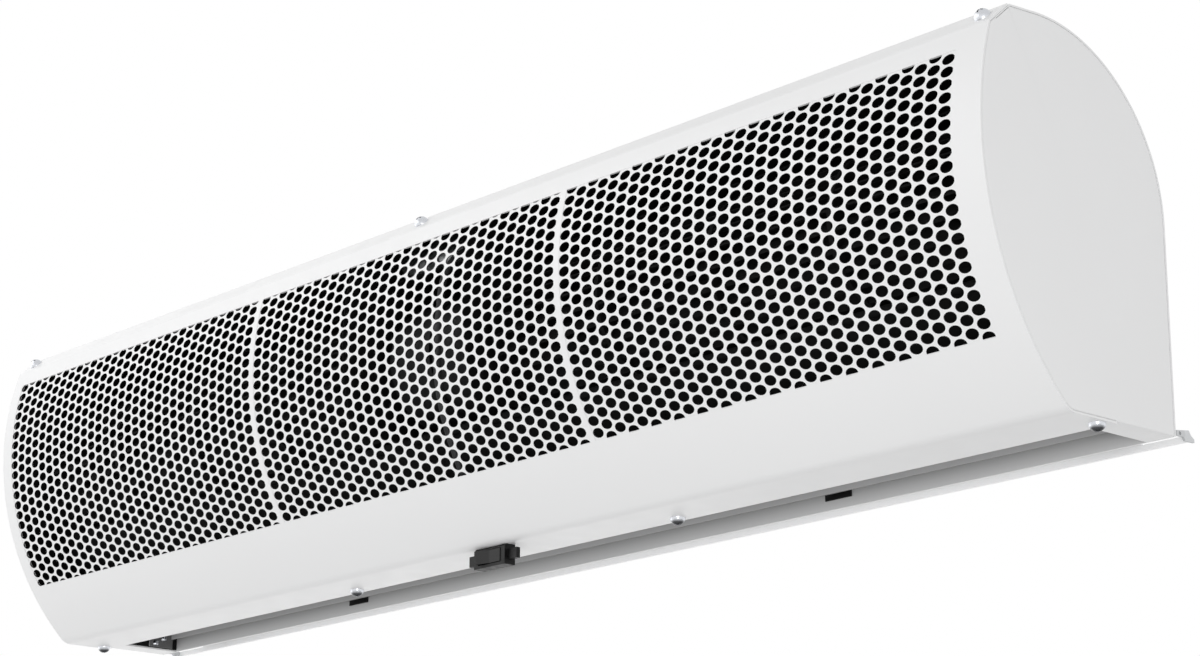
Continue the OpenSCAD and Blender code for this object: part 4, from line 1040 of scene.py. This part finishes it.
class BuildStage(bpy.types.Operator):
    """Floor, soft lamps, world and camera"""

    bl_idname = "aircurtain.stage"
    bl_label = "Stage"

    def lamp(self, name, at, aim, width, height, watts, spread):
        """A soft rectangular lamp that the camera doesn't see."""
        data = bpy.data.lights.new(name, "AREA")
        data.shape = "RECTANGLE"
        data.size, data.size_y, data.energy = width, height, watts
        data.spread = math.radians(spread)
        obj = linked(name, data)
        obj.location = at
        obj.rotation_euler = (Vector(aim) - Vector(at)).to_track_quat("-Z", "Y").to_euler()
        obj.visible_camera = False

    def seen_rays(self, tree):
        """1 for camera, glossy and transmission rays, and 0 for the light that reaches the part."""
        path = tree.nodes.new("ShaderNodeLightPath")
        either = path.outputs["Is Camera Ray"]
        for ray in ("Is Glossy Ray", "Is Transmission Ray"):
            m = tree.nodes.new("ShaderNodeMath")
            m.operation = "MAXIMUM"
            tree.links.new(either, m.inputs[0])
            tree.links.new(path.outputs[ray], m.inputs[1])
            either = m.outputs[0]
        return either

    def sky(self, tree):
        """Grey levels by height: a dimmer ceiling over brighter walls."""
        coords = tree.nodes.new("ShaderNodeTexCoord")
        split = tree.nodes.new("ShaderNodeSeparateXYZ")
        tree.links.new(coords.outputs["Generated"], split.inputs[0])
        share = tree.nodes.new("ShaderNodeMapRange")
        share.inputs["From Min"].default_value = -1.0
        tree.links.new(split.outputs["Z"], share.inputs["Value"])
        ramp = tree.nodes.new("ShaderNodeValToRGB")
        ramp.color_ramp.elements.new(0.5)
        for element, (at, grey) in zip(ramp.color_ramp.elements, SKY):
            element.position = at
            element.color = (grey, grey, grey, 1.0)
        tree.links.new(share.outputs["Result"], ramp.inputs["Fac"])
        return ramp.outputs["Color"]

    def world(self):
        """The sky's greys light the part; the background and reflections are white."""
        world = bpy.data.worlds.new("Studio")
        bpy.context.scene.world = world
        world.use_nodes = True
        tree = world.node_tree
        tree.nodes.clear()
        out = tree.nodes.new("ShaderNodeOutputWorld")
        mix = tree.nodes.new("ShaderNodeMixShader")
        lit = tree.nodes.new("ShaderNodeBackground")
        seen = tree.nodes.new("ShaderNodeBackground")
        lit.inputs["Strength"].default_value = 1.0
        tree.links.new(self.sky(tree), lit.inputs["Color"])
        seen.inputs["Color"].default_value = (1.0, 1.0, 1.0, 1.0)
        seen.inputs["Strength"].default_value = 1.0
        tree.links.new(self.seen_rays(tree), mix.inputs["Fac"])
        tree.links.new(lit.outputs[0], mix.inputs[1])
        tree.links.new(seen.outputs[0], mix.inputs[2])
        tree.links.new(mix.outputs[0], out.inputs["Surface"])

    def floor(self):
        """A pale disc so far below the part that a view from below stands over it."""
        k = np.arange(FLOOR_SIDES)
        a = k * math.tau / FLOOR_SIDES
        rim = FLOOR_MIDDLE + FLOOR_R * np.stack([np.cos(a), np.sin(a), 0 * a], 1)
        faces = np.stack([k, (k + 1) % FLOOR_SIDES, np.full(FLOOR_SIDES, FLOOR_SIDES)], 1)
        mesh = bpy.data.meshes.new("floor")
        mesh.from_pydata([*rim.tolist(), FLOOR_MIDDLE], [], faces.tolist())
        mesh.update()
        obj = linked("floor", mesh)
        s = Shader("Pale floor", (0.82, 0.82, 0.82), 0.9)
        s.bump(s.noise(35.0, 3.0), 0.0005, 0.1)
        mesh.materials.append(s.mat)

    def camera(self):
        """The photograph's camera, from below on the right."""
        yaw, pitch, roll = CAMERA_TURN
        level = math.cos(pitch)
        ahead = Vector((-math.sin(yaw) * level, math.cos(yaw) * level, math.sin(pitch)))
        right = Vector((math.cos(yaw), math.sin(yaw), 0.0))
        up = right.cross(ahead)
        r2 = math.cos(roll) * right + math.sin(roll) * up
        u2 = -math.sin(roll) * right + math.cos(roll) * up
        data = bpy.data.cameras.new("Camera")
        data.sensor_fit = "HORIZONTAL"
        data.sensor_width = SENSOR
        data.lens = FOCAL_SHARE * SENSOR
        data.clip_start, data.clip_end = 0.05, 50.0
        obj = linked("Camera", data)
        m = Matrix((r2, u2, -ahead)).transposed().to_4x4()
        m.translation = Vector(CAMERA_AT)
        obj.matrix_world = m
        bpy.context.scene.camera = obj

    def execute(self, context):
        self.world()
        self.floor()
        for lamp in LAMPS:
            self.lamp(*lamp)
        self.camera()
        context.scene.view_settings.view_transform = "Standard"
        return {"FINISHED"}


class AirCurtainPanel(bpy.types.Panel):
    """The air curtain's pieces, one button each"""

    bl_idname = "AIRCURTAIN_PT_pieces"
    bl_label = "Air curtain"
    bl_space_type = "VIEW_3D"
    bl_region_type = "UI"
    bl_category = "Air curtain"

    def draw(self, context):
        scene = context.scene
        for group in (scene.aircurtain_casing, scene.aircurtain_screens, scene.aircurtain_finishes):
            box = self.layout.box()
            for name in group.bl_rna.properties.keys():
                if name not in ("rna_type", "name"):
                    box.prop(group, name)
        for op in PIECES:
            self.layout.operator(op.bl_idname)


PIECES = (
    BuildCover, BuildScreens, BuildCasing, BuildFasteners, BuildOutlet, BuildSwitch, BuildWorks,
    BuildBrackets, BuildStage,
)
CLASSES = (CasingSizes, ScreenSizes, Finishes, *PIECES, AirCurtainPanel)


def register():
    """Registers the classes and hangs the sizes and colours on the scene."""
    for cls in CLASSES:
        bpy.utils.register_class(cls)
    bpy.types.Scene.aircurtain_casing = PointerProperty(type=CasingSizes)
    bpy.types.Scene.aircurtain_screens = PointerProperty(type=ScreenSizes)
    bpy.types.Scene.aircurtain_finishes = PointerProperty(type=Finishes)


def unregister():
    """Takes everything that register adds away again."""
    del bpy.types.Scene.aircurtain_finishes
    del bpy.types.Scene.aircurtain_screens
    del bpy.types.Scene.aircurtain_casing
    for cls in reversed(CLASSES):
        bpy.utils.unregister_class(cls)


def main():
    """Builds every piece and the stage."""
    register()
    for op in PIECES:
        space, name = op.bl_idname.split(".")
        result = getattr(getattr(bpy.ops, space), name)()
        if result != {"FINISHED"}:
            raise RuntimeError(f"{op.bl_label} was not finished")


if __name__ == "__main__":
    main()
